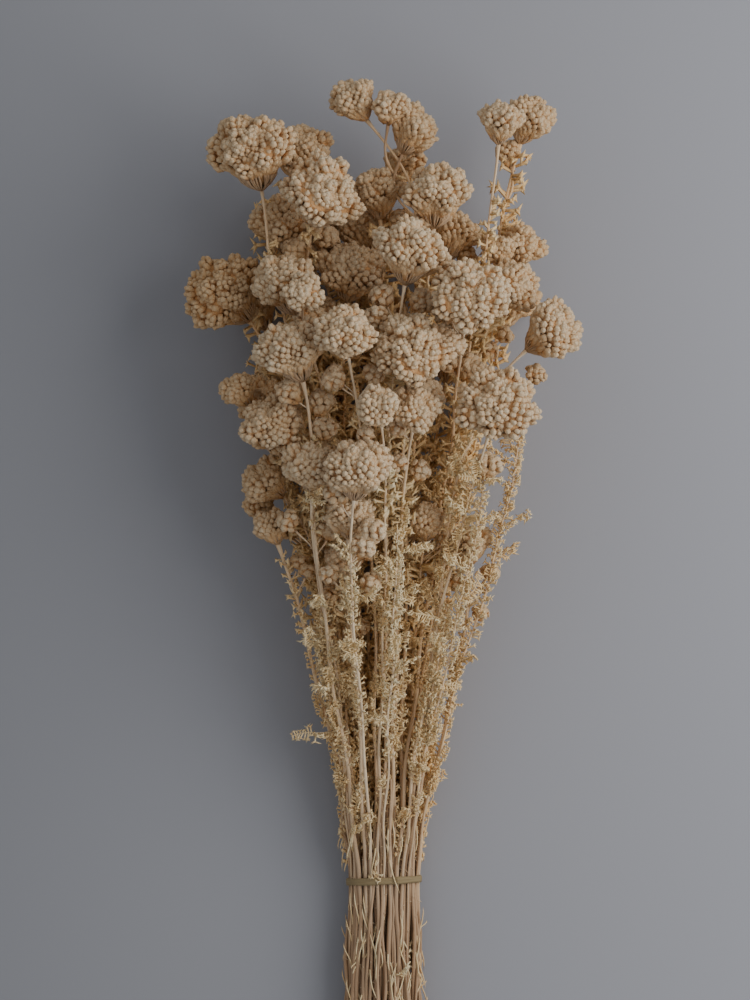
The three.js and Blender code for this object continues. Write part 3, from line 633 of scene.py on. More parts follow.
def resampled(line, step):
    lengths = np.concatenate([[0], np.cumsum(norm(np.diff(line, axis=0), axis=1))])
    count = max(LEAST_POINTS, int(round(lengths[-1] / step)) + 1)
    at = np.linspace(0, lengths[-1], count)
    return np.stack([np.interp(at, lengths, line[:, k]) for k in range(3)], axis=1)


def main_line(solid, end):
    """The middle of a stem, from its cut end"""
    lowest = solid.points[:, 1].min()
    start = solid.points[solid.points[:, 1] < lowest + FOOT_SLICE].mean(axis=0)

    def arrived(point):
        near = end[1] - point[1] < ARRIVAL and norm(end - point) < ARRIVAL_REACH
        return near or point[1] > end[1] + ARRIVAL

    points = follow(solid, start, np.array([0.0, 1.0, 0.0]), STEM_RADIUS, MAIN_STEP, end, arrived)
    return [point for point in points if norm(point - end) > ARRIVAL] + [end]


def nearest_on(line, point):
    gaps = norm(line - point, axis=1)
    best = int(gaps.argmin())
    return best, gaps[best]


def branch_line(solid, head, main):
    """The middle of a side branch, from its head down to the stem"""
    seen = []

    def joined(point):
        seen.append(point)
        return nearest_on(main, point)[1] < BRANCH_JOIN or len(seen) > BRANCH_MOST_STEPS

    goal = main[np.searchsorted(main[:, 1], head.neck[1] - BRANCH_DROP)]
    points = follow(solid, head.neck, -head.axis, BRANCH_RADIUS, BRANCH_STEP, goal, joined)
    index, _ = nearest_on(main, points[-1])
    return points + [main[max(0, index - BRANCH_SUNK)]]


def wavy(line, rng):
    """The stem's line with a slight sway, except in the tie and under its head"""
    share = np.interp(np.abs(line[:, 1] - TIE_Y), SWAY_FROM_TIE, (0, 1))
    share = share * np.interp(line[-1, 1] - line[:, 1], SWAY_FROM_TOP, (0, 1))
    swayed = line.copy()
    for axis in (0, 2):
        turn = tau * line[:, 1] / rng.uniform(*SWAY_LENGTHS) + rng.uniform(0, tau)
        swayed[:, axis] += rng.uniform(*SWAYS) * share * np.sin(turn)
    return swayed


def stem_lines(solid, number, heads, end):
    """The middle of a stem and of its side branches"""
    main = main_line(solid, end) + [head.hub for head in heads[:1]]
    main = smoothed(resampled(np.array(main), MAIN_STEP), STEM_ROUNDS)
    main = wavy(main, np.random.default_rng([SEED, number, SWAY_SEED]))
    branches = []
    for head in heads[1:]:
        route = np.array([head.hub] + branch_line(solid, head, main))
        branches.append(smoothed(resampled(route, BRANCH_STEP), BRANCH_ROUNDS))
    return main, branches


# Meshes are collected in parts and made once
class Build:
    def __init__(self):
        self.points = []
        self.faces = []
        self.look = []
        self.grain = []
        self.count = 0

    def add(self, points, faces, look, grain=None):
        """points and look are (copies, points of one, 3), and faces belong to one copy"""
        copies, size, _ = points.shape
        offsets = self.count + size * np.arange(copies)[:, None]
        for face in faces:
            self.faces.extend((np.array(face) + offsets).tolist())
        self.points.append(points.reshape(-1, 3))
        self.look.append(look.reshape(-1, 3))
        self.grain.append(self.points[-1] * GRAIN_SCALE if grain is None else grain)
        self.count += copies * size

    def piece(self, name, nodes, slot, material):
        points = np.concatenate(self.points)
        points[:, 2] = np.maximum(points[:, 2], FLOOR_GAP)
        mesh = bpy.data.meshes.new(name)
        mesh.from_pydata((points * MM).tolist(), [], self.faces)
        mesh.polygons.foreach_set("use_smooth", [True] * len(mesh.polygons))
        for title, values in (("look", self.look), ("grain", self.grain)):
            layer = mesh.attributes.new(title, "FLOAT_VECTOR", "POINT")
            layer.data.foreach_set("vector", np.concatenate(values).astype(np.float32).ravel())
        mesh.materials.append(material)
        mesh.update()
        made = linked(name, mesh)
        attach(made, "root")
        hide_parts(*nodes)


def looks(points, tip, tone, painted_shade):
    """What the materials read at each point: foot to tip, own tone, painted shade"""
    return np.stack([np.broadcast_to(value, points.shape[:-1]) for value in (tip, tone, painted_shade)], axis=-1)


def depth_shade(points):
    """Painted shade: deeper below the bunch's upper surface, the straw and florets are painted warmer and
    darker
    """
    surface = np.interp(points[..., 1] - TIE_Y, SURFACE_AT, SURFACE)
    return np.clip((surface - SURFACE_SKIN - points[..., 2]) / (FULL_SHADE_DEPTH * surface), 0, 1)


def ring_faces(one, other, sides):
    """Faces between two rings, given by their first points"""
    return [(one + k, one + (k + 1) % sides, other + (k + 1) % sides, other + k) for k in range(sides)]


def tube_faces(count, sides, pointed=False):
    """Faces of a closed tube of rings, which may end in one more point"""
    faces = []
    for i in range(count - 1):
        faces += ring_faces(i * sides, (i + 1) * sides, sides)
    faces.append(tuple(reversed(range(sides))))
    last = (count - 1) * sides
    if pointed:
        faces += [(last + k, last + (k + 1) % sides, last + sides) for k in range(sides)]
    else:
        faces.append(tuple(last + k for k in range(sides)))
    return faces


def tube_rings(line, radii, sides):
    along = unit(np.gradient(line, axis=0))
    side = square_to(along[0])[0]
    rings = []
    for point, direction, radius in zip(line, along, radii):
        side = squared(side, direction)
        rings.append(point + turned(side, np.cross(direction, side), circle(sides)[:, None]) * radius)
    return np.array(rings)


def add_strands(build, lines, radii, tips, tone, painted_shade):
    """Thin strands that taper to a point: lines are (strands, points, 3), tips the colour's share"""
    count, size, _ = lines.shape
    along = unit(np.gradient(lines, axis=1))
    wide = np.asarray(radii)[:, None]
    rings = [lines + spokes(along, STRAND_SPARE, around) * wide for around in circle(STRAND_SIDES)]
    body = np.stack(rings, axis=2)[:, :-1].reshape(count, -1, 3)
    points = np.concatenate([body, lines[:, -1:]], axis=1)
    tips = np.append(np.repeat(tips[:-1], STRAND_SIDES), tips[-1])
    look = looks(points, tips, np.reshape(tone, (-1, 1)), np.reshape(painted_shade, (-1, 1)))
    build.add(points, tube_faces(size - 1, STRAND_SIDES, pointed=True), look)


def stem_grain(count, sides, offset):
    """Where a stem's grain is read, which is slowly along it"""
    ring = turned(np.array([1.0, 0.0, 0.0]), np.array([0.0, 1.0, 0.0]), circle(sides)[:, None])
    grain = np.repeat(ring[None] * GRAIN_RING, count, axis=0)
    grain[:, :, 2] = offset + STEM_STEP * GRAIN_RISE * np.arange(count)[:, None]
    return grain.reshape(-1, 3)


def add_stem(build, line, radii, sides, tone, rng, tip=1.0):
    """A round stem with faint joints where leaves grew; tip says how pale its upper end is"""
    count = len(line)
    radii = radii * rng.uniform(*STEM_STIR, count)
    joint = rng.uniform(*FIRST_JOINT)
    while joint < count - JOINTLESS_END:
        radii[int(joint)] *= rng.uniform(*JOINT_SWELLS)
        joint += rng.uniform(*JOINT_GAPS)
    rings = tube_rings(line, radii, sides)
    look = looks(rings, np.linspace(0, tip, count)[:, None], tone, depth_shade(line)[:, None])
    grain = stem_grain(count, sides, rng.uniform(*GRAIN_OFFSETS))
    build.add(rings.reshape(1, -1, 3), tube_faces(count, sides), look, grain)


# Florets and their stalks
def crown_directions(count, end_angle):
    """Directions spread evenly round +Z, from it to the end angle"""
    lowest = cos(radians(end_angle))
    index = np.arange(count)
    height = 1 - (index + 0.5) / count * (1 - lowest)
    flat = np.sqrt(1 - height ** 2)
    around = GOLDEN_TURN * index
    return np.stack([flat * np.cos(around), flat * np.sin(around), height], axis=1)


class Crown:
    """The lumps of one head, in its own directions: +Z is the head's axis"""

    def __init__(self, head, rng):
        self.head = head
        self.radius = MEAN_RADIUS * head.width
        count = max(LEAST_CLUSTERS, int(self.area(CLUSTERS_END_ANGLE) / CLUSTER_SPACING ** 2))
        wander = rng.normal(0, CLUSTER_WANDER, (count, 3))
        self.centres = unit(crown_directions(count, CLUSTERS_END_ANGLE) + wander)
        self.lifts = rng.uniform(*CLUSTER_LIFT, count) * head.width

    def area(self, end_angle):
        return tau * self.radius ** 2 * (1 - cos(radians(end_angle)))

    def reach(self, directions):
        """How far the crown reaches in each direction, the cluster there, and how near its edge is"""
        closeness = np.clip(directions @ self.centres.T, -1, 1)
        own = closeness.argmax(axis=-1)
        away = np.arccos(closeness.max(axis=-1)) * self.radius / (CLUSTER_SPACING / 2)
        angles = np.degrees(np.arccos(np.clip(directions[..., 2], -1, 1)))
        profile = np.interp(angles, PROFILE_ANGLES, PROFILE_RADII) * self.head.width
        lumps = self.lifts[own] - CLUSTER_SINK * self.head.width * np.clip(away, 0, SINK_REACH) ** 2
        return profile + lumps * np.interp(angles, LUMPS_FADE, (1, 0)), own, away

    def placed(self, points):
        return points @ self.head.frame + self.head.centre


def floret_shape():
    """A floret's points, its faces and its points' share of the colours"""
    around = circle(FLORET_SIDES)
    points = []
    tips = []
    for height, radius, tip in FLORET_RINGS:
        ring = [radius * np.cos(around), radius * np.sin(around), np.full(FLORET_SIDES, height)]
        points += np.stack(ring, axis=1).tolist()
        tips += [tip] * FLORET_SIDES
    points.append([0, 0, FLORET_PEAK[0]])
    tips.append(FLORET_PEAK[1])
    return np.array(points), tube_faces(len(FLORET_RINGS), FLORET_SIDES, pointed=True), np.array(tips)


FLORET_POINTS, FLORET_FACES, FLORET_TIPS = floret_shape()


def lay_out(crown, rng):
    """Each floret's top and axis, how low it sits, and how near its cluster's edge"""
    head = crown.head
    pitch = LYING_PITCH if head.lying else FLORET_PITCH
    count = int(crown.area(FLORETS_END_ANGLE) / (pitch ** 2 * ROW_SHARE))
    wander = rng.normal(0, 1, (count, 3))
    spread = wander * PLACE_WANDER * pitch / crown.radius
    directions = unit(crown_directions(count, FLORETS_END_ANGLE) + spread)
    reach, own, away = crown.reach(directions)
    reach += rng.normal(0, FLORET_LIFT, count)
    tops = directions * reach[:, None]
    angles = np.degrees(np.arccos(np.clip(directions[:, 2], -1, 1)))
    low = np.interp(angles, LOW_ANGLES, (0, 1))[:, None]
    below = AIM_BELOW[0] + (AIM_BELOW[1] - AIM_BELOW[0]) * low
    aim = unit(tops + below * [0.0, 0.0, head.width])
    lean = directions - crown.centres[own]
    axes = unit(aim + CLUSTER_LEAN * lean * (1 - low) + wander * AXIS_WANDER)
    return tops, axes, low[:, 0], away


def add_florets(build, crown, rng):
    head = crown.head
    tops, axes, low, away = lay_out(crown, rng)
    tops = crown.placed(tops)
    axes = axes @ head.frame
    count = len(tops)
    long = rng.uniform(*FLORET_LENGTHS, count) * FLORET_LENGTH * (1 + LOW_LENGTHENING * low)
    long *= min(1.0, head.width / LARGE_HEAD)
    wide = rng.uniform(*FLORET_WIDTHS, count) * FLORET_RADIUS * (1 - LOW_NARROWING * low)
    if head.lying:
        wide *= LYING_PITCH / FLORET_PITCH
    across = spokes(axes, FLORET_SPARE, rng.uniform(0, tau, count)[:, None])
    own = [across, np.cross(axes, across), axes]
    local = FLORET_POINTS * (1 + rng.uniform(-FLORET_STIR, FLORET_STIR, (count, len(FLORET_POINTS), 1)))
    local = local * np.stack([wide, wide, long], axis=1)[:, None, :]
    points = tops[:, None, :] + sum(own[k][:, None, :] * local[:, :, k:k + 1] for k in range(3))
    # Painted shade: florets near a cluster's edge, low on the head, deep in the bunch or in a shaded head
    # are painted darker
    edge = CLUSTER_EDGE_SHADE * np.clip(away - EDGE_FROM, 0, 1) + LOW_SIDE_SHADE * low
    tone = rng.random(count)[:, None]
    painted_shade = np.clip(depth_shade(tops) * FLORET_DEPTH_SHADE + edge + head.shade, 0, 1)[:, None]
    build.add(points, FLORET_FACES, looks(points, FLORET_TIPS, tone, painted_shade))


def add_core(build, crown, rng):
    """A lumpy core under the florets, in the colour of their feet, which is partly painted crevice shade,
    with painted shade deep in the bunch
    """
    large = crown.head.width > LARGE_HEAD / 2
    rings, sides = CORE_RINGS[large], CORE_SIDES[large]
    directions = spherical(np.linspace(*CORE_ANGLES, rings)[:, None], circle(sides))
    reach, _, _ = crown.reach(directions)
    depth = CORE_DEPTH * min(1.0, crown.head.width / LARGE_HEAD)
    points = crown.placed(directions * (reach - depth)[:, :, None])
    painted_shade = np.clip(depth_shade(points) * FLORET_DEPTH_SHADE + crown.head.shade, 0, 1)
    look = looks(points, CORE_TIP, rng.random(sides), painted_shade)
    faces = [tuple(reversed(face)) for face in tube_faces(rings, sides)]
    build.add(points.reshape(1, -1, 3), faces, look)


def add_crown(build, head, rng):
    crown = Crown(head, rng)
    add_florets(build, crown, rng)
    add_core(build, crown, rng)
    return crown


def add_rays(build, crown, rng):
    """The stalks under a head, which fan from its neck over the lower side"""
    head = crown.head
    count = int(RAYS_PER_WIDTH * head.width)
    around = GOLDEN_TURN * np.arange(count) + rng.normal(0, RAY_WANDER, count)
    ends = rng.uniform(*RAY_ENDS, count)
    share = np.linspace(0, 1, RAY_POINTS)
    directions = spherical(RAY_START + (ends - RAY_START)[:, None] * share, around[:, None])
    reach, _, _ = crown.reach(directions)
    sunk = RAY_FOOT_DEPTH + (1 - RAY_FOOT_DEPTH) * share
    reach = reach - rng.uniform(*RAY_DEPTH, count)[:, None] * sunk
    lines = crown.placed(directions * reach[:, :, None])
    radii = np.linspace(*RAY_RADII, RAY_POINTS) * min(1.0, head.width / LARGE_HEAD)
    # Painted shade on the stalks under the head, more deep in the bunch
    painted_shade = min(1.0, RAY_UNDER_SHADE + float(depth_shade(head.centre)) * RAY_DEPTH_SHADE)
    add_strands(build, lines, radii, np.full(RAY_POINTS, RAY_TIP), rng.random(count), painted_shade)


def curve(start, start_pull, end_pull, end, count):
    t = np.linspace(0, 1, count)[:, None]
    pulled = 3 * t * (1 - t) ** 2 * start_pull + 3 * t * t * (1 - t) * end_pull
    return (1 - t) ** 3 * start + pulled + t ** 3 * end


def add_side_head(stem, florets, line, head, rng):
    """A small cluster on a thin stalk, which stands below and behind the main head"""
    spread = LYING_SPREAD if head.lying else 1.0
    wanted = head.neck[1] - rng.uniform(*SIDE_HEAD_BELOW) * spread
    index = int(np.searchsorted(line[:, 1], wanted))
    if index < LEAST_POINTS or not SIDE_HEAD_LOWEST <= wanted - TIE_Y <= SIDE_HEAD_ZONE[1]:
        return
    start = line[index - 2]
    if abs(start[0] - TIE_CENTRE[0]) > SIDE_HEAD_ZONE[0]:
        return
    along = unit(line[index] - line[index - 1])
    away = np.array([rng.choice([-1, 1]) * rng.uniform(*SIDE_AWAY), 0.0, rng.uniform(*SIDE_RISE)])
    away = squared(away, along)
    reach = rng.uniform(*SIDE_HEAD_REACH) * spread
    width = rng.uniform(*SIDE_HEAD_WIDTHS) * head.width
    axis = unit(along * SIDE_AXIS[0] + away * SIDE_AXIS[1])
    centre = start + away * reach + along * reach * SIDE_FORWARD
    centre[2] = max(centre[2], width * SIDE_ABOVE_FLOOR)
    side = Head("", [0, 0, 0, width, 0, 0], True)
    side.settle(centre, axis, head.shade)
    pulls = (start + along * reach * SIDE_PULLS[0], side.hub - axis * reach * SIDE_PULLS[1])
    stalk = curve(start, *pulls, side.hub, len(SIDE_STALK_RADII))
    add_stem(stem, stalk, np.array(SIDE_STALK_RADII), STALK_SIDES, rng.random(), rng)
    add_crown(florets, side, rng)


# Leaves, cut to the rib
def aimed(aim, outward, forwards, ups, rng):
    """Directions outward that lean forward and upward by chance"""
    share, forward, up = aim
    size = (len(outward), 1)
    return unit(outward * share + forwards * rng.uniform(*forward, size) + ups * rng.uniform(*up, size))


def add_lobes(build, starts, forwards, sides, ups, reach, tone, painted_shade, rng, thick=1.0):
    """Side lobes of a leaf: bent strands, each with two smaller ones"""
    size = (len(starts), 1)
    reach = np.reshape(reach, (-1, 1)) * rng.uniform(*LOBE_SIZES, size)
    out = aimed(LOBE_AIM, sides, forwards, ups, rng)
    middles = starts + out * reach * LOBE_LENGTHS[0]
    ends = middles + aimed(LOBE_CURL_AIM, out, forwards, ups, rng) * reach * LOBE_LENGTHS[1]
    radii = np.array(LOBE_RADII) * thick
    add_strands(build, np.stack([starts, middles, ends], axis=1), radii, LOBE_TIPS, tone, painted_shade)
    for hand in (-1, 1):
        away = aimed(LOBE_TIP_AIM, out, forwards * hand, ups, rng)
        tips = middles + away * reach * rng.uniform(*LOBE_TIP_LENGTHS, size)
        add_strands(build, np.stack([middles, tips], axis=1), radii[1:], LOBE_TIPS[1:], tone, painted_shade)


def add_leaf(build, base, forward, up, length, width, curl, painted_shade, rng):
    """A feathery leaf: a curved rib with lobes on both sides, folded upward"""
    stations = max(LEAF_LEAST_STATIONS, int(length / LOBE_STEP))
    forward = unit(forward)
    up = squared(up, forward)
    rows = [(base, forward, up)]
    for bend in rng.uniform(*LEAF_BENDS, stations) * curl / stations:
        side = np.cross(up, forward)
        forward = unit(turned(forward, up, bend) + side * rng.normal(0, RIB_WANDER))
        up = squared(unit(np.cross(forward, side) + side * rng.uniform(*RIB_ROLL)), forward)
        rows.append((rows[-1][0] + forward * length / stations, forward, up))
    rows = np.array(rows)
    tone = rng.random()
    radii = np.linspace(*RIB_RADII, len(rows))
    add_strands(build, rows[None, :, 0], radii, np.full(len(rows), RIB_TIP), tone, painted_shade)
    share = np.arange(1, stations) / stations
    reach = width / 2 * np.sin(pi * (LEAF_OUTLINE[0] + LEAF_OUTLINE[1] * share)) ** LEAF_FULLNESS
    points, forwards, ups = rows[1:-1].transpose(1, 0, 2)
    for hand in (-1, 1):
        add_lobes(build, points, forwards, np.cross(ups, forwards) * hand, ups, reach, tone, painted_shade, rng)


def add_sheath(build, line, start, end, reach, rng, thick=1.0):
    """Small curled lobes all round a stretch of stem, as where a leaf has dried against it"""
    inside = (line[:, 1] > TIE_Y + start) & (line[:, 1] < TIE_Y + end)
    if inside.sum() < LEAST_POINTS:
        return
    stretch = resampled(line[inside], SHEATH_STEP * thick)
    count = len(stretch)
    alongs = unit(np.gradient(stretch, axis=0))
    around = rng.uniform(0, tau, count)[:, None]
    out = spokes(alongs, [0.0, 0.0, 1.0], -around)
    swell = np.sin(np.linspace(SHEATH_ENDS, pi - SHEATH_ENDS, count))
    reach = reach * (SHEATH_SWELL[0] + SHEATH_SWELL[1] * swell)
    painted_shade = depth_shade(stretch) * LEAF_DEPTH_SHADE
    starts = stretch + out * SHEATH_ROOT
    add_lobes(build, starts, alongs, out, np.cross(alongs, out), reach, rng.random(), painted_shade, rng, thick)


def add_sheaths(build, line, reach, rows, rng):
    for lowest, before, highest, past, radius, thick in rows:
        start, end = max(lowest, reach - before), min(highest, reach + past)
        add_sheath(build, line, start, end, radius, rng, thick)


def leaf_groups(solid, lines, heads):
    """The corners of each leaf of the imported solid: those away from its stems and heads"""
    free = np.ones(len(solid.points), dtype=bool)
    for line in lines:
        dense = resampled(line, BRANCH_STEP)
        gaps = norm(solid.points[:, None, :] - dense[None, :, :], axis=2)
        free &= gaps.min(axis=1) > LEAF_LEAST_GAP
    for head in heads:
        free &= norm(solid.points - head.centre, axis=1) > HEAD_ZONE * head.width
    group = np.arange(len(free))
    before = None
    while not np.array_equal(group, before):
        before = group.copy()
        for face in solid.faces:
            inside = [i for i in face if free[i]]
            group[inside] = group[inside].min(initial=len(free))
    found = [solid.points[free & (group == number)] for number in np.unique(group[free])]
    return [points for points in found if len(points) >= LEAF_LEAST_CORNERS]


def add_packed_leaf(build, corners, line, rng):
    """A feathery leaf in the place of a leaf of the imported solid"""
    gaps = norm(corners[:, None, :] - line[None, :, :], axis=2)
    base = line[int(gaps.min(axis=0).argmin())]
    tip = corners[int(norm(corners - base, axis=1).argmax())]
    middle = corners.mean(axis=0)
    _, _, axes = svd(corners - middle)
    up = axes[2] if axes[2].dot(base - middle) < 0 else -axes[2]
    across = unit(np.cross(tip - base, up))
    width = min(np.ptp((corners - base) @ across), LEAF_WIDEST)
    length = norm(tip - base)
    start = base + unit(tip - base) * LEAF_ROOT
    painted_shade = float(depth_shade(tip)) * LEAF_DEPTH_SHADE
    add_leaf(build, start, tip - base, up, length, width, rng.uniform(*PACKED_CURLS), painted_shade, rng)


def add_loose_leaves(build, line, leaves, top, rng):
    """Smaller curled leaves along a stem, mostly on the side that is seen"""
    count, low, lengths, leans = leaves
    for _ in range(count):
        wanted = TIE_Y + rng.uniform(low, top)
        index = int(np.clip(np.searchsorted(line[:, 1], wanted), 1, len(line) - 2))
        along = unit(line[index + 1] - line[index - 1])
        out = turned(*square_to(along), rng.normal(pi / 2, LOOSE_SPREAD))
        forward = turned(along, out, radians(rng.uniform(*leans)))
        length = rng.uniform(*lengths)
        curl = rng.uniform(*LOOSE_CURLS)
        width = rng.uniform(*LOOSE_WIDTHS)
        painted_shade = float(depth_shade(line[index])) * LEAF_DEPTH_SHADE
        add_leaf(build, line[index] + out * STEM_SKIN, forward, out, length, width, curl, painted_shade, rng)


def add_shreds(build, line, rng):
    """Loose shreds that cross the bare part of the stems, but not the tie"""
    wanted = rng.uniform(*SHRED_ZONE, SHREDS)
    across = (wanted > SHRED_GAP[0]) & (wanted < SHRED_GAP[1])
    wanted[across] += SHRED_GAP[0] - SHRED_GAP[1]
    index = np.clip(np.searchsorted(line[:, 1], TIE_Y + wanted), 1, len(line) - 2)
    size = (SHREDS, 1)
    along = unit(line[index + 1] - line[index - 1]) * rng.choice([-1, 1], size)
    outward = unit((line[index] - TIE_CENTRE) * [1, 0, 1]) + rng.normal(0, SHRED_SCATTER, (SHREDS, 3))
    out = squared(outward, along)
    side = np.cross(along, out)
    length = rng.uniform(*SHRED_LENGTHS, size)
    lean = rng.normal(0, SHRED_LEAN, size)
    wave = rng.uniform(0, tau, size)
    curl = rng.uniform(*SHRED_CURLS, size)
    rows = []
    for share in np.linspace(0, 1, SHRED_POINTS):
        swing = curl * np.sin(wave + SHRED_WAVES[0] * share) * (SHRED_FOOT_SWING + share)
        lift = SHRED_LIFT[0] + SHRED_LIFT[1] * share + curl * (1 - np.cos(SHRED_WAVES[1] * share))
        aside = side * (length * lean * share + swing)
        rows.append(line[index] + along * length * share + aside + out * lift)
    lines = np.stack(rows, axis=1)
    radii = np.append(np.linspace(*SHRED_RADII, SHRED_POINTS - 1), 0.0)
    painted_shade = depth_shade(lines[:, 0]) * LEAF_DEPTH_SHADE
    add_strands(build, lines, radii, np.full(SHRED_POINTS, SHRED_TIP), rng.random(SHREDS), painted_shade)


def inside_tie(points):
    """The points, drawn in to where the tie holds them"""
    from_middle = (points - TIE_CENTRE) / [STALK_HOLD[0], 1.0, STALK_HOLD[1]]
    out = np.hypot(from_middle[:, 0], from_middle[:, 2])
    held = np.interp(np.abs(from_middle[:, 1]), STALK_HELD_AT, (1, 0))
    share = 1 - held * (1 - 1 / np.maximum(out, 1))
    return TIE_CENTRE + (points - TIE_CENTRE) * np.stack([share, np.ones(len(share)), share], axis=1)


def add_side_stalk(build, line, tone, rng):
    """A thin bare stalk that winds along the stem through the tie"""
    start, end = TIE_Y + STALK_FOOT, TIE_Y + rng.uniform(*STALK_ENDS)
    near = resampled(line[(line[:, 1] > start) & (line[:, 1] < end)], STALK_STEP)
    turn = rng.uniform(0, tau) + np.linspace(0, rng.uniform(*STALK_TURNS), len(near))[:, None]
    offset = rng.uniform(*STALK_OFFSETS, (len(near), 1))
    across = turned(np.array([1.0, 0.0, 0.0]), np.array([0.0, 0.0, 1.0]), turn)
    near = inside_tie(near + offset * across)
    radii = np.full(len(near), rng.uniform(*STALK_RADII))
    add_stem(build, near, radii, STALK_SIDES, tone, rng, STALK_TIP)


def add_fibres(build, line, rng):
    size = (FIBRES, 1)
    index = rng.integers(2, len(line) - 2, FIBRES)
    alongs = unit(line[index + 1] - line[index - 1])
    out = squared(unit(rng.normal(0, 1, (FIBRES, 3))), alongs)
    starts = line[index] + out * STEM_SKIN
    share, forward, length = FIBRE_BEND
    middles = starts + (out * share + alongs * rng.uniform(*forward, size)) * length
    outward, forward, length = FIBRE_END
    ends = middles + (out * rng.uniform(*outward, size) + alongs * rng.uniform(*forward, size)) * length
    lines = np.stack([starts, middles, ends], axis=1)
    add_strands(build, lines, FIBRE_RADII, LOBE_TIPS, rng.random(FIBRES), depth_shade(starts) * LEAF_DEPTH_SHADE)


# Materials
def material(name, roughness):
    made = bpy.data.materials.new(name)
    made.use_nodes = True
    shader = made.node_tree.nodes["Principled BSDF"]
    shader.inputs["Roughness"].default_value = roughness
    return made, made.node_tree, shader


def node(tree, kind, inputs, **settings):
    """A new node, with each input joined to a socket, or set to a colour or a number"""
    made = tree.nodes.new("ShaderNode" + kind)
    for key, value in settings.items():
        setattr(made, key, value)
    for key, value in inputs.items():
        if isinstance(value, bpy.types.NodeSocket):
            tree.links.new(value, made.inputs[key])
        else:
            made.inputs[key].default_value = (*value, 1) if isinstance(value, tuple) else value
    return made


def attribute(tree, name):
    """A mesh attribute, whole and as its three values"""
    whole = node(tree, "Attribute", {}, attribute_name=name).outputs["Vector"]
    return whole, node(tree, "SeparateXYZ", {0: whole}).outputs


def ramp(tree, factor, stops):
    made = node(tree, "ValToRGB", {0: factor})
    elements = made.color_ramp.elements
    while len(elements) < len(stops):
        elements.new(0)
    for element, (position, colour) in zip(elements, stops):
        element.position = position
        element.color = (*colour, 1)
    return made.outputs[0]


def mix(tree, factor, one, other):
    return node(tree, "Mix", {0: factor, 6: one, 7: other}, data_type="RGBA").outputs[2]


def faded(tree, value, start, end, most=1.0):
    """0 where the value is at start, and most where it is at end"""
    inputs = {"Value": value, "From Min": start, "From Max": end, "To Max": most}
    return node(tree, "MapRange", inputs).outputs[0]


def noise(tree, vector, scale, detail):
    return node(tree, "TexNoise", {"Vector": vector, "Scale": scale, "Detail": detail}).outputs[0]


def bump(tree, shader, height, strength, distance, invert=False):
    inputs = {"Height": height, "Strength": strength, "Distance": distance}
    made = node(tree, "Bump", inputs, invert=invert)
    tree.links.new(made.outputs[0], shader.inputs["Normal"])


def floret_material():
    made, tree, shader = material("florets", FLORET_ROUGHNESS)
    _, look = attribute(tree, "look")
    grain, _ = attribute(tree, "grain")
    fresh = ramp(tree, look[0], FRESH)
    aged_and_shaded = ramp(tree, look[0], AGED_AND_SHADED)
    colour = mix(tree, faded(tree, look[1], 0, 1, FLORET_TONES), fresh, aged_and_shaded)
    # Painted shade: deeper and shaded florets take the darker colours
    colour = mix(tree, faded(tree, look[2], 0, 1, DEEPEST_SHADE), colour, aged_and_shaded)
    cells = node(tree, "TexVoronoi", {"Vector": grain, "Scale": KNOB_SCALE}).outputs["Distance"]
    # Painted shade in the gaps between knobs, and paler knob tops
    for start, end, share, tint in (KNOB_GAP_SHADE, KNOB_TOPS):
        colour = mix(tree, faded(tree, cells, start, end, share), colour, tint)
    tree.links.new(colour, shader.inputs["Base Color"])
    bump(tree, shader, cells, *KNOB_BUMP, invert=True)
    return made


def straw_material(name, pale, deep, painted_shade_colour, foot, share):
    """Straw with streaks and painted shade deeper in the bunch; the feet take a share of the foot colour"""
    made, tree, shader = material(name, STRAW_ROUGHNESS)
    _, look = attribute(tree, "look")
    grain, _ = attribute(tree, "grain")
    colour = mix(tree, faded(tree, noise(tree, grain, *STREAKS), *STREAKS_FROM), pale, deep)
    colour = mix(tree, faded(tree, look[1], 0, 1, STRAW_TONES), colour, deep)
    # Painted shade: deeper in the bunch the straw is painted warmer and darker
    colour = mix(tree, faded(tree, look[2], 0, 1, DEEPEST_SHADE), colour, painted_shade_colour)
    colour = mix(tree, faded(tree, look[0], *FOOT_FADE, share), colour, foot)
    patches = noise(tree, grain, *PATCHES)
    colour = mix(tree, faded(tree, patches, *PATCHES_FROM, PATCHES_SHARE), colour, foot)
    tree.links.new(colour, shader.inputs["Base Color"])
    bump(tree, shader, noise(tree, grain, *STRAW_GRAIN), *STRAW_BUMP)
    return made


def floor_material():
    """Plain and pale, with painted shade: darker to the left and a little paler to the right"""
    made, tree, shader = material("floor", FLOOR_ROUGHNESS)
    place = node(tree, "TexCoord", {}).outputs["Object"]
    across = node(tree, "SeparateXYZ", {0: place}).outputs[0]
    pale = mix(tree, faded(tree, across, *FLOOR_SHADE_FADE), FLOOR_SHADED_LEFT, FLOOR_LIT_RIGHT)
    clouds = faded(tree, noise(tree, place, *FLOOR_CLOUDS), 0, 1, FLOOR_CLOUD_SHARE)
    tree.links.new(mix(tree, clouds, pale, FLOOR_CLOUD), shader.inputs["Base Color"])
    return made


FLORETS = floret_material()
STEMS = straw_material("stems", *STEM_STRAW)
LEAVES = straw_material("leaves", *LEAF_STRAW)
TIE = straw_material("tie", *TIE_STRAW)


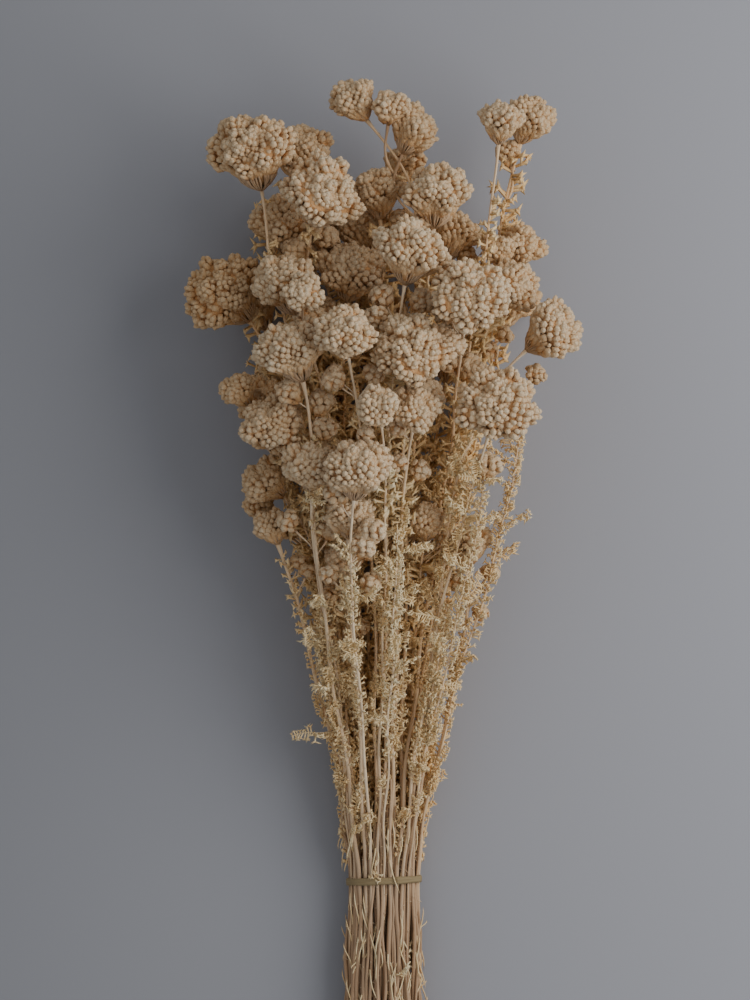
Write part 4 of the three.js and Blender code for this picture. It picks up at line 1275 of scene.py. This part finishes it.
# The plants
def add_stems(build, main, branches, heads, rng):
    """The stem and its side branches, wider where they meet a head"""
    tone = rng.random()
    line = resampled(main, STEM_STEP)
    ends = (STEM_RADIUS, NECK_RADIUS) if heads else SHOOT_RADII
    radii = np.linspace(*ends, len(line))
    if heads:
        radii[-2:] *= NECK_SWELLS
    add_stem(build, line, radii * rng.uniform(*STEM_SHARES), STEM_SIDES, tone, rng)
    for branch in branches:
        route = resampled(branch, BRANCH_RING_STEP)
        radii = np.full(len(route), BRANCH_RADIUS)
        radii[:2] *= BRANCH_SWELLS
        add_stem(build, route, radii, BRANCH_SIDES, tone, rng)
    return line


def in_depth(line):
    """Whether the stem runs inside the fan, where its leaf only fills the depth"""
    along = line[:, 1] - TIE_Y
    inside = np.abs(line[:, 0] - TIE_CENTRE[0]) < FAN_INSIDE[0] + FAN_INSIDE[1] * along
    return np.mean(inside[along > 0]) > MOSTLY


def dress_flowering_stem(leaves, line, reach, rng):
    top = min(reach - LEAFLESS_TOP, LEAFY_REACH)
    if np.mean(line[:, 2]) > HIGH_STEM:
        add_loose_leaves(leaves, line, HIGH_LEAVES, top, rng)
        for _ in range(SHORT_SHEATHS):
            start = rng.uniform(SHORT_SHEATH_FROM[0], top - SHORT_SHEATH_FROM[1])
            end = start + rng.uniform(*SHORT_SHEATH_LENGTHS)
            add_sheath(leaves, line, start, end, rng.uniform(*SHORT_SHEATH_RADII), rng)
        add_sheaths(leaves, line, reach, HIGH_SHEATHS, rng)
    else:
        add_loose_leaves(leaves, line, LOW_LEAVES, top, rng)
        add_sheaths(leaves, line, reach, DEEP_SHEATHS if in_depth(line) else EDGE_SHEATHS, rng)
    if rng.random() < FOOT_LEAF_CHANCE:
        add_loose_leaves(leaves, line, FOOT_LEAF, FOOT_LEAF_TOP, rng)
    add_shreds(leaves, line, rng)


def dress_shoot(leaves, line, reach, rng):
    add_loose_leaves(leaves, line, SHOOT_LEAVES, reach, rng)
    for share, radius in SHOOT_SHEATHS:
        add_sheath(leaves, line, reach * share, reach + SHOOT_SHEATH_END, radius, rng)


def plant(number, owner, heads, end):
    """One plant's pieces: its stem with stalks, its florets and its leaves"""
    rng = np.random.default_rng([SEED, number])
    solid = Solid(owner)
    main, branches = stem_lines(solid, number, heads, end)
    stem, florets, leaves = Build(), Build(), Build()
    line = add_stems(stem, main, branches, heads, rng)
    for head in heads:
        add_rays(stem, add_crown(florets, head, rng), rng)
    for head in heads[:1]:
        for _ in range(LYING_SIDE_HEADS if head.lying else SIDE_HEADS):
            add_side_head(stem, florets, main, head, rng)
    add_side_stalk(stem, main, rng.random(), rng)
    add_fibres(stem, line, rng)
    for corners in leaf_groups(solid, [main, *branches], heads):
        add_packed_leaf(leaves, corners, main, rng)
    dress = dress_flowering_stem if heads else dress_shoot
    dress(leaves, main, end[1] - TIE_Y, rng)
    stem.piece("stem_" + owner, [owner], "stems", STEMS)
    if heads:
        florets.piece("florets_" + owner, [owner], "florets", FLORETS)
    leaves.piece("leaves_" + owner, [owner], "leaves", LEAVES)


# The tie
def tie_point(angle, reach, across):
    x = (TIE_INNER[0] + reach) * cos(angle)
    z = (TIE_INNER[1] + reach) * sin(angle)
    return TIE_CENTRE + np.array([x, across + x * tan(TIE_TILT), z])


def band_section(angle, inner, outer, half):
    """The band's corners at an angle, as how far out and how far across they are"""
    stir = sum(size * sin(waves * angle) for size, waves in TIE_STIRS)
    edge = half + TIE_EDGE_STIR[0] * sin(TIE_EDGE_STIR[1] * angle)
    slope, shoulder = outer * TIE_SHOULDER[0], edge * TIE_SHOULDER[1]
    return [(inner, -edge), (inner, edge), (slope, edge), (outer + stir, shoulder),
            (outer + stir / 2, 0), (outer + stir, -shoulder), (slope, -edge)]


def add_band(build, start, end, inner, outer, width):
    """A flat band from one angle to another, closed where it goes all the way round"""
    share = (end - start) / tau
    steps = max(TIE_LEAST_STEPS, int(share * TIE_STEPS))
    closed = share == 1
    points = []
    grain = []
    for i in range(steps if closed else steps + 1):
        angle = start + (end - start) * i / steps
        section = band_section(angle, inner, outer, width / 2)
        points += [tie_point(angle, *corner) for corner in section]
        grain += [(across * TIE_GRAIN[0], reach, angle * TIE_GRAIN[1]) for reach, across in section]
    sides = len(section)
    count = len(points) // sides
    faces = tube_faces(count, sides)
    if closed:
        faces = faces[:-2] + ring_faces((count - 1) * sides, 0, sides)
    points = np.array(points)[None]
    build.add(points, faces, looks(points, *TIE_LOOK), np.array(grain))


def tie():
    build = Build()
    add_band(build, 0, tau, 0.0, TIE_BAND, TIE_WIDTH)
    add_band(build, *TUCK_ANGLES, TIE_BAND * TUCK_REACH[0], TIE_BAND * TUCK_REACH[1], TIE_WIDTH * TUCK_WIDTH)
    build.piece("tie_band", ["tie"], "tie", TIE)


heads = all_heads()
for number, owner in enumerate([*FLOWERING_STEMS, *LYING_STEMS]):
    own = [head for head in heads if head.owner == owner]
    plant(number, owner, own, own[0].neck)
for number, (owner, place) in enumerate(LEAFY_SHOOTS.items()):
    plant(SHOOT_SEEDS + number, owner, [], place + TIE_AT)
tie()


# The floor, the light and the camera
def floor():
    mesh = bpy.data.meshes.new("floor")
    corners = [(x * FLOOR_REACH, y * FLOOR_REACH, 0) for x, y in ((-1, -1), (1, -1), (1, 1), (-1, 1))]
    mesh.from_pydata(corners, [], [(0, 1, 2, 3)])
    mesh.materials.append(floor_material())
    linked("floor", mesh)


def area_light(name, place, target, size, power, colour):
    data = bpy.data.lights.new(name, "AREA")
    data.shape = "DISK"
    data.size = size
    data.energy = power
    data.color = colour
    made = linked(name, data)
    made.location = place
    made.rotation_euler = (Vector(target) - Vector(place)).to_track_quat("-Z", "Y").to_euler()


def camera():
    """Straight above the bunch, with the tie at its place in the photo"""
    data = bpy.data.cameras.new("camera")
    data.sensor_fit = "VERTICAL"
    data.sensor_height = SENSOR_HEIGHT
    data.lens = SENSOR_HEIGHT * CAMERA_DISTANCE / (PHOTO_SIZE[1] * PIXEL)
    made = linked("camera", data)
    x = TIE_CENTRE[0] + (PHOTO_SIZE[0] / 2 - TIE_PIXEL[0]) * PIXEL
    y = TIE_Y + (TIE_PIXEL[1] - PHOTO_SIZE[1] / 2) * PIXEL
    made.location = (x * MM, y * MM, (SEEN_HEIGHT + CAMERA_DISTANCE) * MM)
    bpy.context.scene.camera = made


def world():
    made = bpy.data.worlds.new("studio")
    made.use_nodes = True
    background = made.node_tree.nodes["Background"]
    background.inputs["Color"].default_value = WORLD_COLOUR
    background.inputs["Strength"].default_value = WORLD_STRENGTH
    bpy.context.scene.world = made


floor()
world()
camera()
for light in LIGHTS:
    area_light(*light)
